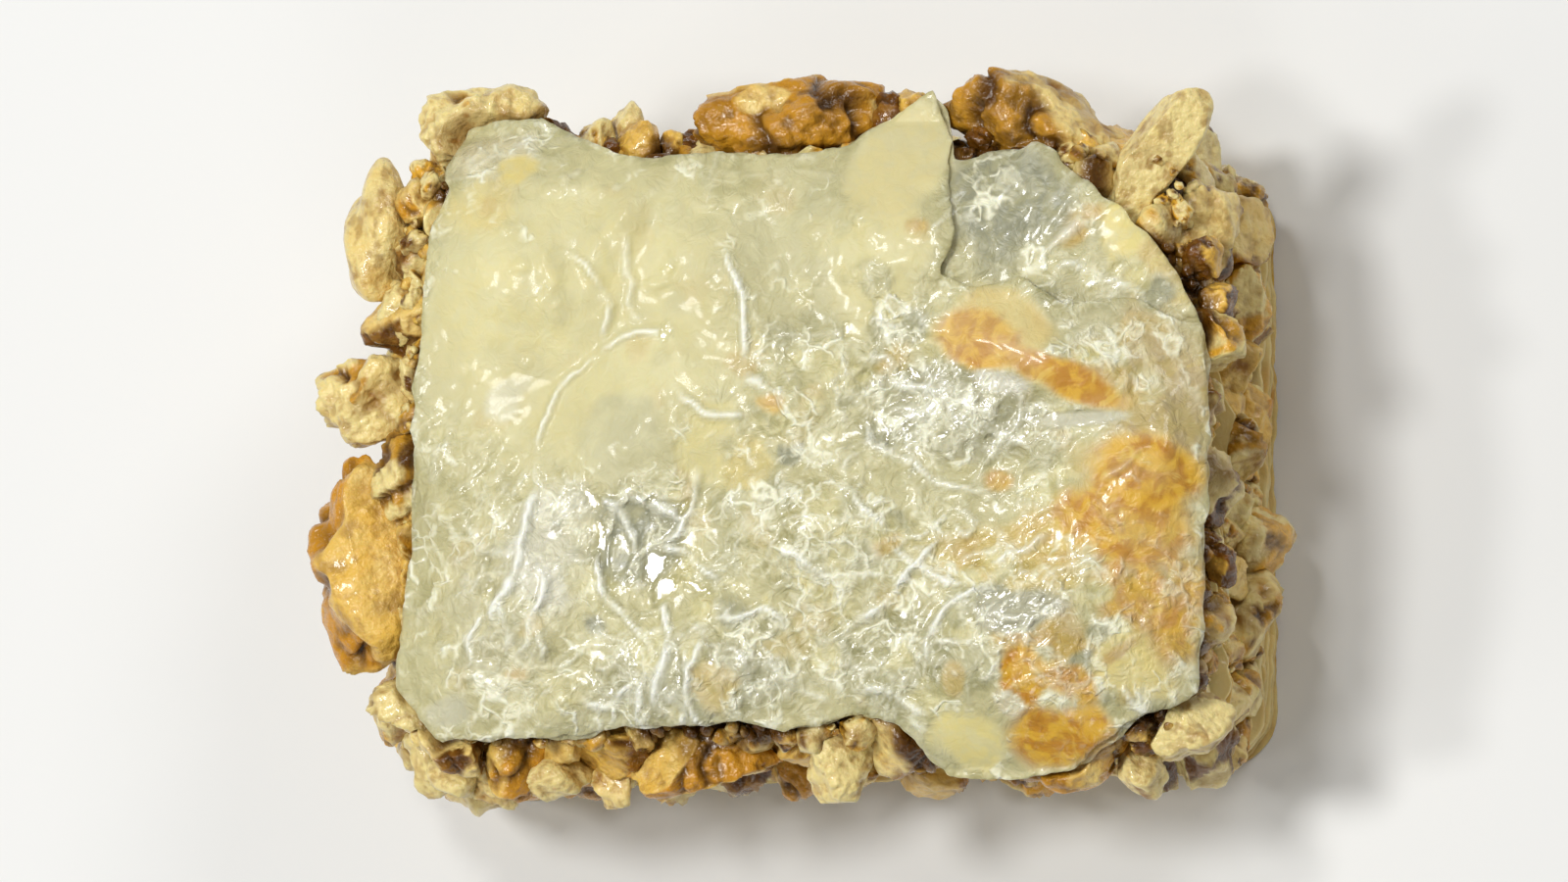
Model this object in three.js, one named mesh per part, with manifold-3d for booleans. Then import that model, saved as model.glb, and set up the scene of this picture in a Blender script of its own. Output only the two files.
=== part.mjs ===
// One square-cut piece of walnut baklava, soaked in syrup.
// From the bottom: a stack of wet pastry sheets, a layer of chopped walnuts, one loose pastry
// sheet, a second layer of walnuts and a thin pastry top that drapes over the nuts below it.
// The cut sides show the nuts, so chopped pieces stand out of both walnut layers all round.
// Millimetres, +Z up. The origin is the centre of the flat underside, +Y points to the back.
import * as THREE from "three";
import { mergeVertices } from "three/addons/utils/BufferGeometryUtils.js";
import Module from "manifold-3d";

const wasm = await Module();
wasm.setup();

// ---- driving dimensions -------------------------------------------------------------------
const PIECE_LENGTH = 54.8; // the top sheet, left to right
const PIECE_WIDTH = 39.8; // the top sheet, front to back
const TOP_LEVEL = 26.2; // upper face of the top sheet, away from nuts and edges
const TOP_THICKNESS = 1.2;
const BASE_HEIGHT = 5;
const MIDDLE_LEVEL = 15.4;
const MIDDLE_THICKNESS = 1;
const GAP = 0.35; // clearance between neighbouring solids

const GRID = { top: [21, 16], middle: [13, 10] }; // squares along X and Y

// ---- small helpers ------------------------------------------------------------------------
const FULL_TURN = 2 * Math.PI;

// A repeatable number from 0 to 1 for the pair (item, trait).
function chance(item, trait) {
  const wave = Math.sin(item * 12.9898 + trait * 78.233) * 43758.5453;
  return wave - Math.floor(wave);
}

function mix(from, to, share) {
  return from + (to - from) * share;
}

// Straight-line interpolation in a table of rising stops.
function interpolate(stops, values, at) {
  let k = 1;
  while (k < stops.length - 1 && at > stops[k]) k += 1;
  return mix(values[k - 1], values[k], (at - stops[k - 1]) / (stops[k] - stops[k - 1]));
}

function toSolid(geometry) {
  const bare = new THREE.BufferGeometry();
  bare.setAttribute("position", geometry.getAttribute("position"));
  if (geometry.index) bare.setIndex(geometry.index);
  const merged = mergeVertices(bare, 1e-4);
  return new wasm.Manifold(
    new wasm.Mesh({
      numProp: 3,
      vertProperties: merged.attributes.position.array,
      triVerts: new Uint32Array(merged.index.array),
    }),
  );
}

// The largest body of a solid: loose scraps are dropped and sealed hollows are filled.
function toGeometry(solid) {
  const largest = solid
    .decompose()
    .reduce((best, body) => (body.volume() > best.volume() ? body : best));
  const { vertProperties, triVerts } = largest.getMesh();
  const geometry = new THREE.BufferGeometry();
  geometry.setAttribute("position", new THREE.BufferAttribute(vertProperties, 3));
  geometry.setIndex(new THREE.BufferAttribute(triVerts, 1));
  geometry.computeVertexNormals();
  return geometry;
}

// ---- torn pastry edges --------------------------------------------------------------------
// A tear is a tip that stands out past the straight edge, or a notch where reach is negative.
const TEARS = {
  back: [
    { at: -20.5, reach: 2.8, width: 7 },
    { at: 8.6, reach: 4.2, width: 4.6 },
    { at: 15.8, reach: 1, width: 4 },
    { at: 24.5, reach: -5, width: 10 },
  ],
  front: [
    { at: 11.6, reach: 3, width: 6 },
    { at: 3.4, reach: -1.1, width: 6 },
    { at: -12, reach: 0.8, width: 5 },
  ],
  left: [
    { at: -13.5, reach: 1.3, width: 10 },
    { at: 18, reach: -2.4, width: 12 },
  ],
  right: [
    { at: 19, reach: -5, width: 14 },
    { at: -19.5, reach: -1.2, width: 6 },
  ],
};
const SLOW_RIPPLE = { depth: 0.35, length: 2.9 };
const QUICK_RIPPLE = { depth: 0.22, length: 1.3 };
const EDGE_PHASE = { back: 0.4, front: 1.9, left: 3.1, right: 4.6 };
const CORNER_PULL = { share: 0.045, power: 12 }; // the sheet's corners draw in by this share

function edgeReach(edge, along) {
  const phase = EDGE_PHASE[edge];
  let reach = SLOW_RIPPLE.depth * Math.sin(along / SLOW_RIPPLE.length + phase);
  reach += QUICK_RIPPLE.depth * Math.sin(along / QUICK_RIPPLE.length + 2.1 * phase);
  for (const tear of TEARS[edge]) {
    const t = (along - tear.at) / (tear.width / 2);
    reach += tear.reach * Math.exp(-t * t);
  }
  return reach;
}

// A point of the top sheet's plan, for u and v from -1 to 1.
function sheetPlan(u, v) {
  const halfLength = PIECE_LENGTH / 2;
  const halfWidth = PIECE_WIDTH / 2;
  const left = -halfLength - edgeReach("left", v * halfWidth);
  const right = halfLength + edgeReach("right", v * halfWidth);
  const front = -halfWidth - edgeReach("front", u * halfLength);
  const back = halfWidth + edgeReach("back", u * halfLength);
  const pull = (t) => 1 - CORNER_PULL.share * Math.abs(t) ** CORNER_PULL.power;
  const x = mix(left, right, (u + 1) / 2) * pull(v);
  const y = mix(front, back, (v + 1) / 2) * pull(u);
  return new THREE.Vector2(x, y);
}

// ---- the top sheet's relief ---------------------------------------------------------------
// The nuts that lift the sheet plainly: place, length, width, turn in degrees, and rise.
const NUTS_UNDER_SHEET = [
  { x: 17.3, y: 5.1, length: 14, width: 5, turn: -25, rise: 1.9 },
  { x: 23.6, y: -3, length: 10.5, width: 8, turn: 55, rise: 2.2 },
  { x: 16.4, y: -12.6, length: 12, width: 9, turn: 10, rise: 1.6 },
  { x: 7.2, y: 13.4, length: 9, width: 8, turn: 20, rise: 1.4 },
  { x: -10.4, y: 1.2, length: 12, width: 9, turn: 35, rise: 1.9 },
  { x: -20.5, y: 11.5, length: 11, width: 8, turn: -30, rise: 1.5 },
  { x: -19.5, y: -9.5, length: 10, width: 7, turn: 70, rise: 1.3 },
  { x: 1.6, y: -6.2, length: 11, width: 8, turn: -15, rise: 1.7 },
  { x: -6.5, y: -15, length: 9, width: 6, turn: 5, rise: 1.2 },
  { x: -4.6, y: 11.2, length: 9, width: 6, turn: -60, rise: 1.3 },
  { x: -0.8, y: 3, length: 5, width: 3.6, turn: 0, rise: 1 },
];
const LESSER_NUTS = { count: 34, spread: 0.92, size: [3, 5.6], slimness: [0.6, 1], rise: [0.35, 0.95] };

function lesserNut(k) {
  const { spread, size, slimness, rise } = LESSER_NUTS;
  const length = mix(...size, chance(k, 3));
  return {
    x: (chance(k, 1) - 0.5) * spread * PIECE_LENGTH,
    y: (chance(k, 2) - 0.5) * spread * PIECE_WIDTH,
    length,
    width: length * mix(...slimness, chance(k, 4)),
    turn: 360 * chance(k, 5),
    rise: mix(...rise, chance(k, 6)),
  };
}

const RISING_NUTS = [
  ...NUTS_UNDER_SHEET,
  ...Array.from({ length: LESSER_NUTS.count }, (_, k) => lesserNut(k)),
];
const DRAPE = { power: 3, spread: 0.8 }; // how sharply the sheet follows the highest nut below
const SWELL = { height: 0.35, lengthX: 6.1, phaseX: 0.7, lengthY: 5.3, phaseY: -0.4 };
const RIPPLE = { height: 0.2, length: 3.7, phase: 1.9 };
const RIM = { droop: 1.6, power: 7, limit: 1.1 }; // how the sheet sinks towards its edges

// Height of the sheet's upper face: its level, a drape over the nuts, a slow swell and the droop.
function topHeight(x, y) {
  let drape = 0;
  for (const nut of RISING_NUTS) {
    const turn = THREE.MathUtils.degToRad(nut.turn);
    const p = (x - nut.x) * Math.cos(turn) + (y - nut.y) * Math.sin(turn);
    const q = (y - nut.y) * Math.cos(turn) - (x - nut.x) * Math.sin(turn);
    const reach = (2 * p / nut.length) ** 2 + (2 * q / nut.width) ** 2;
    drape += (nut.rise * Math.exp(-DRAPE.spread * reach)) ** DRAPE.power;
  }
  const swell = Math.sin(x / SWELL.lengthX + SWELL.phaseX) * Math.cos(y / SWELL.lengthY + SWELL.phaseY);
  const ripple = Math.sin((x + y) / RIPPLE.length + RIPPLE.phase);
  const rim = (at, full) => Math.min(RIM.limit, Math.abs(2 * at) / full) ** RIM.power;
  const droop = RIM.droop * (rim(x, PIECE_LENGTH) + rim(y, PIECE_WIDTH));
  const folds = SWELL.height * swell + RIPPLE.height * ripple;
  return TOP_LEVEL + drape ** (1 / DRAPE.power) + folds - droop;
}

// Height of the middle sheet's centre: two waves, and a droop towards its edges.
const MIDDLE_SIZE = { length: 58.4, width: 42.4, offset: -1.4 };
const MIDDLE_WAVES = { slow: 0.45, quick: 0.25 };
const MIDDLE_RIM = { droop: 0.8, power: 8, limit: 1.2 };
function middleHeight(x, y) {
  const slow = Math.sin(x / 7.3 + 1.1) * Math.cos(y / 6.2 + 0.5);
  const quick = Math.sin(x / 3.1 - y / 4.3);
  const rim = (at, full) => Math.min(MIDDLE_RIM.limit, Math.abs(2 * at) / full) ** MIDDLE_RIM.power;
  const droop = MIDDLE_RIM.droop * (rim(x, MIDDLE_SIZE.length) + rim(y, MIDDLE_SIZE.width));
  return MIDDLE_LEVEL + MIDDLE_WAVES.slow * slow + MIDDLE_WAVES.quick * quick - droop;
}

// ---- sheet solids -------------------------------------------------------------------------
// A closed solid between two height functions over a grid of plan points.
function gridSolid(plan, columns, rows, upper, lower) {
  const positions = [];
  const faces = [];
  const index = (i, j, side) => 2 * (i * (rows + 1) + j) + side;
  for (let i = 0; i <= columns; i += 1) {
    for (let j = 0; j <= rows; j += 1) {
      const { x, y, levelX = x, levelY = y, lift = 0 } = plan(i, j);
      positions.push(x, y, lower(levelX, levelY), x, y, upper(levelX, levelY) + lift);
    }
  }
  const quad = (a, b, c, d) => faces.push(a, b, c, a, c, d);
  for (let i = 0; i < columns; i += 1) {
    for (let j = 0; j < rows; j += 1) {
      quad(index(i, j, 1), index(i + 1, j, 1), index(i + 1, j + 1, 1), index(i, j + 1, 1));
      faces.push(index(i, j, 0), index(i + 1, j + 1, 0), index(i + 1, j, 0));
      faces.push(index(i, j, 0), index(i, j + 1, 0), index(i + 1, j + 1, 0));
    }
  }
  const rim = (i, j, k, l) => quad(index(i, j, 0), index(k, l, 0), index(k, l, 1), index(i, j, 1));
  for (let i = 0; i < columns; i += 1) {
    rim(i, 0, i + 1, 0);
    rim(i + 1, rows, i, rows);
  }
  for (let j = 0; j < rows; j += 1) {
    rim(columns, j, columns, j + 1);
    rim(0, j + 1, 0, j);
  }
  const geometry = new THREE.BufferGeometry();
  geometry.setAttribute("position", new THREE.Float32BufferAttribute(positions, 3));
  geometry.setIndex(faces);
  return toSolid(geometry);
}

function topPlan(i, j) {
  const [columns, rows] = GRID.top;
  return sheetPlan((2 * i) / columns - 1, (2 * j) / rows - 1);
}

const MIDDLE_RAGGED = 1.5; // how unevenly the middle sheet's rim is torn
function middlePlan(i, j) {
  const [columns, rows] = GRID.middle;
  const torn = (at, last, trait) =>
    at === 0 || at === last ? MIDDLE_RAGGED * (chance(i + 20 * j, trait) - 0.5) : 0;
  const x = MIDDLE_SIZE.length * (i / columns - 0.5) + MIDDLE_SIZE.offset + torn(i, columns, 81);
  const y = MIDDLE_SIZE.width * (j / rows - 0.5) + torn(j, rows, 82);
  return new THREE.Vector2(x, y);
}

// A sheet's plan with border rows added round it at the given steps from its rim, so that the
// space over or under the sheet ends past every nut. The outermost row may be lifted.
function withBorder(plan, [columns, rows], steps, lift = 0) {
  const added = steps.length;
  const outside = (k, last) => {
    if (k < added) return -steps[added - 1 - k];
    return k > last + added ? steps[k - last - added - 1] : 0;
  };
  const bordered = (i, j) => {
    const inside = (k, last) => THREE.MathUtils.clamp(k - added, 0, last);
    const { x, y } = plan(inside(i, columns), inside(j, rows));
    const out = [outside(i, columns), outside(j, rows)];
    const far = out.some((step) => Math.abs(step) === steps[added - 1]);
    return { x: x + out[0], y: y + out[1], levelX: x, levelY: y, lift: far ? lift : 0 };
  };
  return [bordered, columns + 2 * added, rows + 2 * added];
}

const topSheet = () =>
  gridSolid(topPlan, ...GRID.top, topHeight, (x, y) => topHeight(x, y) - TOP_THICKNESS);

const middleSheet = () =>
  gridSolid(
    middlePlan,
    ...GRID.middle,
    (x, y) => middleHeight(x, y) + MIDDLE_THICKNESS / 2,
    (x, y) => middleHeight(x, y) - MIDDLE_THICKNESS / 2,
  );

// The spaces that the nuts may fill. Bare nuts beside the top sheet may stand a little higher.
const NEAR_RIM = 0.7;
const PAST_NUTS = 16;
const BARE_NUT_RISE = 1.6;
const HALF_SHEET = MIDDLE_THICKNESS / 2 + GAP;

const roomUnderTop = () =>
  gridSolid(
    ...withBorder(topPlan, GRID.top, [NEAR_RIM, PAST_NUTS], BARE_NUT_RISE),
    (x, y) => topHeight(x, y) - TOP_THICKNESS - GAP,
    () => BASE_HEIGHT + GAP,
  );

const roomBelowMiddle = () =>
  gridSolid(
    ...withBorder(middlePlan, GRID.middle, [PAST_NUTS]),
    (x, y) => middleHeight(x, y) - HALF_SHEET,
    () => BASE_HEIGHT + GAP,
  );

const roomAboveMiddle = () =>
  gridSolid(
    ...withBorder(middlePlan, GRID.middle, [PAST_NUTS]),
    () => 2 * TOP_LEVEL,
    (x, y) => middleHeight(x, y) + HALF_SHEET,
  );

// ---- walls --------------------------------------------------------------------------------
// The cut walls follow a rectangle with round corners. share runs from 0 to 1 round it, from the
// left end of the front wall, anticlockwise seen from above.
const WALL = { halfLength: 25.9, halfWidth: 18.9, radius: 2.6 };
const BATTER = 1.2; // how far the foot of a wall stands out past its head
const LEFT_BULGE = 3.2; // the left side lay against the tray and spread outwards

function wallPoint(share, z) {
  const { halfLength, halfWidth, radius } = WALL;
  const a = halfLength - radius;
  const b = halfWidth - radius;
  const arc = (radius * Math.PI) / 2;
  const stops = [0];
  for (const step of [2 * a, arc, 2 * b, arc, 2 * a, arc, 2 * b, arc]) {
    stops.push(stops[stops.length - 1] + step);
  }
  const at = (share - Math.floor(share)) * stops[8];
  const x = interpolate(stops, [-a, a, a, a, a, -a, -a, -a, -a], at);
  const y = interpolate(stops, [-b, -b, -b, b, b, b, b, -b, -b], at);
  const angle = interpolate(stops, [-90, -90, 0, 0, 90, 90, 180, 180, 270], at) * (Math.PI / 180);
  const height = THREE.MathUtils.clamp((z - BASE_HEIGHT) / (TOP_LEVEL - BASE_HEIGHT), 0, 1);
  const bulge = LEFT_BULGE * (1 - height ** 3) * Math.max(0, -Math.cos(angle));
  const lean = BATTER * (1 - height) + bulge;
  const outward = new THREE.Vector3(Math.cos(angle), Math.sin(angle), 0);
  const point = new THREE.Vector3(x, y, z).addScaledVector(outward, radius + lean);
  return { point, outward };
}

// A closed solid through rings of equal length, listed upwards, with fans over both ends.
function ringSolid(rings) {
  const around = rings[0].length;
  const positions = rings.flat().flatMap((p) => [p.x, p.y, p.z]);
  const faces = [];
  for (let level = 0; level < rings.length - 1; level += 1) {
    for (let k = 0; k < around; k += 1) {
      const a = level * around + k;
      const b = level * around + ((k + 1) % around);
      faces.push(a, b, b + around, a, b + around, a + around);
    }
  }
  const addCap = (level, upwards) => {
    const centre = positions.length / 3;
    positions.push(0, 0, rings[level][0].z);
    for (let k = 0; k < around; k += 1) {
      const a = level * around + k;
      const b = level * around + ((k + 1) % around);
      faces.push(centre, ...(upwards ? [a, b] : [b, a]));
    }
  };
  addCap(0, false);
  addCap(rings.length - 1, true);
  const geometry = new THREE.BufferGeometry();
  geometry.setAttribute("position", new THREE.Float32BufferAttribute(positions, 3));
  geometry.setIndex(faces);
  return toSolid(geometry);
}

// The stack of wet sheets at the bottom, with a groove between each sheet and the next.
const BASE_SHEETS = 4;
const BASE_REACH = 1.3; // how far the sheets stand out past the nuts' wall
const GROOVE_DEPTH = 0.55;
const BASE_RAGGED = 0.9;
const BASE_AROUND = 48;
function baseStack() {
  const rings = [];
  for (let sheet = 0; sheet < BASE_SHEETS; sheet += 1) {
    for (const [share, depth] of [[0, GROOVE_DEPTH], [0.5, 0], [1, GROOVE_DEPTH]]) {
      if (share === 1 && sheet < BASE_SHEETS - 1) continue;
      const z = ((sheet + share) * BASE_HEIGHT) / BASE_SHEETS;
      rings.push(
        Array.from({ length: BASE_AROUND }, (_, k) => {
          const { point, outward } = wallPoint(k / BASE_AROUND, BASE_HEIGHT);
          const ragged = BASE_RAGGED * (chance(k, 60 + sheet) - 0.5);
          point.z = z;
          return point.addScaledVector(outward, BASE_REACH + ragged - depth);
        }),
      );
    }
  }
  return ringSolid(rings);
}

// ---- broken walnut pieces -----------------------------------------------------------------
const SHAPE = [1.22, 0.96, 0.84]; // a chopped nut's semi-axes as shares of its radius
const LOBES = 0.13; // how far the lobes of the skin stand out, as a share of the radius
const BREAKS = 3;
const BREAK_DEPTH = [0.6, 0.86]; // how far from the middle a break lies, as a share too

function randomDirection(item, trait) {
  const z = 2 * chance(item, trait) - 1;
  const angle = FULL_TURN * chance(item, trait + 1);
  const flat = Math.sqrt(1 - z * z);
  return new THREE.Vector3(flat * Math.cos(angle), flat * Math.sin(angle), z);
}

// Distance from a kernel's middle to its surface: a lobed skin, cut by flat breaks.
function nutReach(direction, item) {
  const { x, y, z } = direction;
  const a = FULL_TURN * chance(item, 11);
  const b = FULL_TURN * chance(item, 12);
  let reach = 1 + LOBES * Math.sin(3.2 * x + 2.1 * z + a) * Math.cos(3.6 * y - 1.7 * x + b);
  for (let k = 0; k < BREAKS; k += 1) {
    const facing = direction.dot(randomDirection(item, 20 + 2 * k));
    const depth = mix(...BREAK_DEPTH, chance(item, 30 + k));
    if (facing > 0.05) reach = Math.min(reach, depth / facing);
  }
  return reach;
}

const BALLS = {
  fine: () => new THREE.IcosahedronGeometry(1, 2),
  plain: () => new THREE.IcosahedronGeometry(1, 1),
  coarse: () => new THREE.SphereGeometry(1, 7, 4),
  crude: () => new THREE.IcosahedronGeometry(1, 0),
};

function nutSolid({ item, centre, half, ball, turn }) {
  const geometry = BALLS[ball]();
  const position = geometry.getAttribute("position");
  const semiAxes = new THREE.Vector3(...half);
  const rotation = new THREE.Euler(...turn.map((degrees) => THREE.MathUtils.degToRad(degrees)));
  const vertex = new THREE.Vector3();
  for (let k = 0; k < position.count; k += 1) {
    vertex.fromBufferAttribute(position, k);
    vertex.multiplyScalar(nutReach(vertex.clone().normalize(), item)).multiply(semiAxes);
    vertex.applyEuler(rotation).add(centre);
    position.setXYZ(k, vertex.x, vertex.y, vertex.z);
  }
  return toSolid(geometry);
}

// ---- the large nuts, each a piece of its own ----------------------------------------------
// at: centre; half: semi-axes; turn: degrees, first about Z, then Y, then X.
const LARGE_NUTS = [
  { name: "nut_oval_left", at: [-30.4, 15.2, 20.8], half: [4.9, 2.8, 2.6], turn: [6, 4, 86] },
  { name: "walnut_crag_left", at: [-30.7, 4.4, 19.8], half: [4.4, 3.3, 3], turn: [10, 8, 16] },
  { name: "walnut_gold_left", at: [-31, -7.6, 20], half: [7.1, 4.6, 4], turn: [8, 12, 100] },
  { name: "nut_back_corner", at: [-23.2, 22.6, 20.6], half: [4.6, 3.2, 3], turn: [12, 5, 8] },
  { name: "walnut_back_left", at: [-1.4, 22.4, 20.4], half: [6.8, 3.8, 3.6], turn: [10, 6, 6] },
  { name: "walnut_back_right", at: [15.2, 21.8, 20.2], half: [6.2, 3.5, 3.4], turn: [8, 8, -24] },
  { name: "nut_sliver_corner", at: [24.1, 18.9, 22.8], half: [5.8, 2.2, 2], turn: [5, -7, 55] },
  { name: "nut_crumb_corner", at: [25.9, -18.9, 20.6], half: [3, 2.6, 2.4], turn: [0, 10, 30] },
  { name: "walnut_front_corner", at: [18.2, -19.9, 21], half: [4.7, 3.1, 3], turn: [8, 4, 12] },
  { name: "nut_front_cream", at: [2, -20.9, 20.6], half: [3, 2.4, 2.4], turn: [15, 5, 70] },
  { name: "walnut_front_mid", at: [-8, -20.6, 19.8], half: [5.6, 3, 3.2], turn: [10, 5, 4] },
];
const FIRST_LARGE = 900; // their item numbers start here
const FINE_FROM = 4.6; // a large nut at least this long from its middle is modelled finer

function largeNut({ name, at, half, turn }, margin = 0) {
  return nutSolid({
    item: FIRST_LARGE + LARGE_NUTS.findIndex((nut) => nut.name === name),
    centre: new THREE.Vector3(...at),
    half: half.map((length) => length + margin),
    ball: half[0] < FINE_FROM ? "plain" : "fine",
    turn,
  });
}

// ---- chopped nuts ---------------------------------------------------------------------------
// The chopped nuts that show in the walls. Each size class is placed by a seeded draw, the
// largest first, and a draw that comes too close to an earlier nut is left out.
const CLASSES = [
  { radius: [2.8, 3.6], draws: 110, ball: "coarse" },
  { radius: [1.9, 2.5], draws: 240, ball: "crude" },
  { radius: [1.2, 1.6], draws: 110, ball: "crude" },
];
const CLOSEST = 0.75; // least distance between two nuts, as a share of their radii's sum
const PROUD = 0.05; // how far a nut's centre stands outside the wall, as a share of its radius
const CLEAR_OF_SHEETS = 0.8; // how far it stays from the layer's floor and roof, as a share too

function nutsInLayer({ floor, roof, firstItem }) {
  const placed = [];
  const inTheWay = LARGE_NUTS.map(({ at, half }) => ({
    centre: new THREE.Vector3(...at),
    radius: (half[0] + half[1]) / 2,
  }));
  let item = firstItem;
  for (const { radius: range, draws, ball } of CLASSES) {
    for (let draw = 0; draw < draws; draw += 1) {
      item += 1;
      const radius = mix(...range, chance(item, 1));
      const margin = CLEAR_OF_SHEETS * radius;
      const z = mix(floor + margin, roof - margin, chance(item, 2));
      const { point, outward } = wallPoint(chance(item, 3), z);
      const centre = point.addScaledVector(outward, PROUD * radius);
      const apart = (nut) => nut.centre.distanceTo(centre) > CLOSEST * (nut.radius + radius);
      if (![...inTheWay, ...placed].every(apart)) continue;
      const half = SHAPE.map((share) => share * radius);
      const turn = [41, 42, 43].map((trait) => 360 * chance(item, trait));
      placed.push({ item, centre, radius, half, ball, turn });
    }
  }
  return placed;
}

// ---- walnut layers ------------------------------------------------------------------------
const CORE_AROUND = 36;
const CORE_LEVELS = [BASE_HEIGHT - 2, 10, 15, 20, TOP_LEVEL + 6];

function walnutCore() {
  const rings = CORE_LEVELS.map((z) =>
    Array.from({ length: CORE_AROUND }, (_, k) => wallPoint(k / CORE_AROUND, z).point),
  );
  return ringSolid(rings);
}

const SOCKET = 0.56; // how much wider than its large nut a hollow in the heap is
const clearOfLarge = (solid) =>
  LARGE_NUTS.reduce((left, nut) => left.subtract(largeNut(nut, SOCKET)), solid);

function walnutLayer(layer, ...rooms) {
  const heap = nutsInLayer(layer).reduce((whole, nut) => whole.add(nutSolid(nut)), walnutCore());
  return clearOfLarge(rooms.reduce((left, room) => left.intersect(room), heap));
}

const LOWER = { floor: BASE_HEIGHT, roof: MIDDLE_LEVEL - 0.8, firstItem: 1000 };
const UPPER = { floor: MIDDLE_LEVEL + 0.8, roof: TOP_LEVEL - 1.8, firstItem: 2000 };

// ---- assembly -----------------------------------------------------------------------------
const MATERIALS = {
  pastry: { color: 0xd8cfa6, roughness: 0.3 },
  soaked_pastry: { color: 0xc2ac72, roughness: 0.35 },
  walnut: { color: 0xb98a45, roughness: 0.45 },
  nut_cream: { color: 0xd9c48c, roughness: 0.45 },
};

const baklava = new THREE.Group();

function addPiece(name, solid, slot) {
  const material = new THREE.MeshStandardMaterial({ metalness: 0, ...MATERIALS[slot] });
  const mesh = new THREE.Mesh(toGeometry(solid), material);
  mesh.name = name;
  baklava.add(mesh);
}

addPiece("pastry_base", baseStack(), "soaked_pastry");
addPiece("walnut_lower", walnutLayer(LOWER, roomBelowMiddle()), "walnut");
addPiece("pastry_middle", clearOfLarge(middleSheet()), "pastry");
addPiece("walnut_upper", walnutLayer(UPPER, roomUnderTop(), roomAboveMiddle()), "walnut");
addPiece("pastry_top", topSheet(), "pastry");
for (const nut of LARGE_NUTS) {
  const slot = nut.name.startsWith("walnut") ? "walnut" : "nut_cream";
  addPiece(nut.name, largeNut(nut).intersect(roomUnderTop()), slot);
}

export default baklava;
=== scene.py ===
# %% [markdown]
# # A piece of walnut baklava
#
# One square-cut piece, soaked in syrup: a stack of wet pastry sheets at the bottom, two layers
# of chopped walnuts with a loose sheet between them, and a thin top sheet that clings to the nuts.
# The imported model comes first. It is the frame that every piece below is fitted to.

# %% Load the frame
import itertools
import bpy
import numpy as np
from mathutils import Vector, Matrix


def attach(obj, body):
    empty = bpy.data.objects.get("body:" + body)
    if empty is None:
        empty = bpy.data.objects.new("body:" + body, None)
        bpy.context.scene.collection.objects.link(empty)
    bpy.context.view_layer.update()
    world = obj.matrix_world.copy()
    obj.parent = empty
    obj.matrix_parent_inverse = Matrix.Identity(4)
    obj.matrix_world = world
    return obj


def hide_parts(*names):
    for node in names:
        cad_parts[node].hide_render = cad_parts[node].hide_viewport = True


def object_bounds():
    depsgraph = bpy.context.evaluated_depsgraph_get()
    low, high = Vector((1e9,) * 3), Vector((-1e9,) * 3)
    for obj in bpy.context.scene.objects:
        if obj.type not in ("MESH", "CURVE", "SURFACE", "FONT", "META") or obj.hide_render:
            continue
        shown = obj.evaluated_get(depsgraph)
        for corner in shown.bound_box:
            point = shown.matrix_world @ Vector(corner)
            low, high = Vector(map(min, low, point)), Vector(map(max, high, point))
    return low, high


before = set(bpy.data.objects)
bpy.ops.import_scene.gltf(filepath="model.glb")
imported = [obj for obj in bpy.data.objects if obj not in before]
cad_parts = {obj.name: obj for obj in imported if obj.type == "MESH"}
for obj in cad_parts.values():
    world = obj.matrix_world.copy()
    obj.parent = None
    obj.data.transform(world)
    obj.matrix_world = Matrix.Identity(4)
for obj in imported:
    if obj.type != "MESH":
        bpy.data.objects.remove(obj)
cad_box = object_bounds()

MM = 0.001
CAD_LOW, CAD_HIGH = (np.array(corner) / MM for corner in cad_box)
print("CAD box in mm:", CAD_LOW.round(1), CAD_HIGH.round(1))

# %% [markdown]
# ## Numbers that repeat
#
# Food is uneven, but the script must give the same piece each time. So chance isn't drawn from a
# random generator: it is worked out from an item's number and the trait that is asked for. All
# lengths below are in millimetres.


# %% Seeded chance and soft steps
def chance(item, trait):
    """The fractional part of a large sine of item and trait: 0 to 1 for each pair."""
    wave = np.sin(np.asarray(item, float) * 12.9898 + trait * 78.233) * 43758.5453
    return wave - np.floor(wave)


def mix(low, high, share):
    """low where share is 0, high where it is 1, and a straight line between them."""
    return low + (high - low) * share


def smoothstep(low, high, value):
    """0 below low, 1 above high, and 3t^2 - 2t^3 between them."""
    t = np.clip((value - low) / (high - low), 0, 1)
    return t * t * (3 - 2 * t)


def bell(value, width):
    """1 where value is 0, falling on both sides as exp(-t^2), where t is value over width."""
    return np.exp(-((value / width) ** 2))


print("four chances:", chance([1, 2, 3, 4], 1).round(3))

# %% [markdown]
# Wrinkles, crumbs and torn edges all need noise: values that change smoothly from place to place
# without repeating. Blender's Noise texture does this in a material. Meshes need the same thing as
# arrays, and a lattice of chance numbers with smooth steps between them is enough.


# %% Smooth noise as arrays
def noise(points, seed=0):
    """Each whole-number lattice point has a value from -1 to 1. A point between takes their
    average, weighted by 3t^2 - 2t^3 along each axis."""
    cell = np.floor(points)
    t = points - cell
    t = t * t * (3 - 2 * t)
    total = 0
    for corner in itertools.product((0.0, 1.0), repeat=3):
        value = chance((cell + corner) @ (1.0, 57.0, 113.0), seed + 0.37)
        weight = np.where(corner, t, 1 - t).prod(axis=-1)
        total = total + weight * value
    return 2 * total - 1


def cloud(points, size, octaves=3, seed=0):
    """Noise of the given size, plus noise at half the size and half the height, and so on."""
    points = np.asarray(points, float) / size
    layers = [noise(points * 2**k + 11.3 * k, seed + k) / 2**k for k in range(octaves)]
    return sum(layers) / (2 - 2 ** (1 - octaves))


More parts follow.
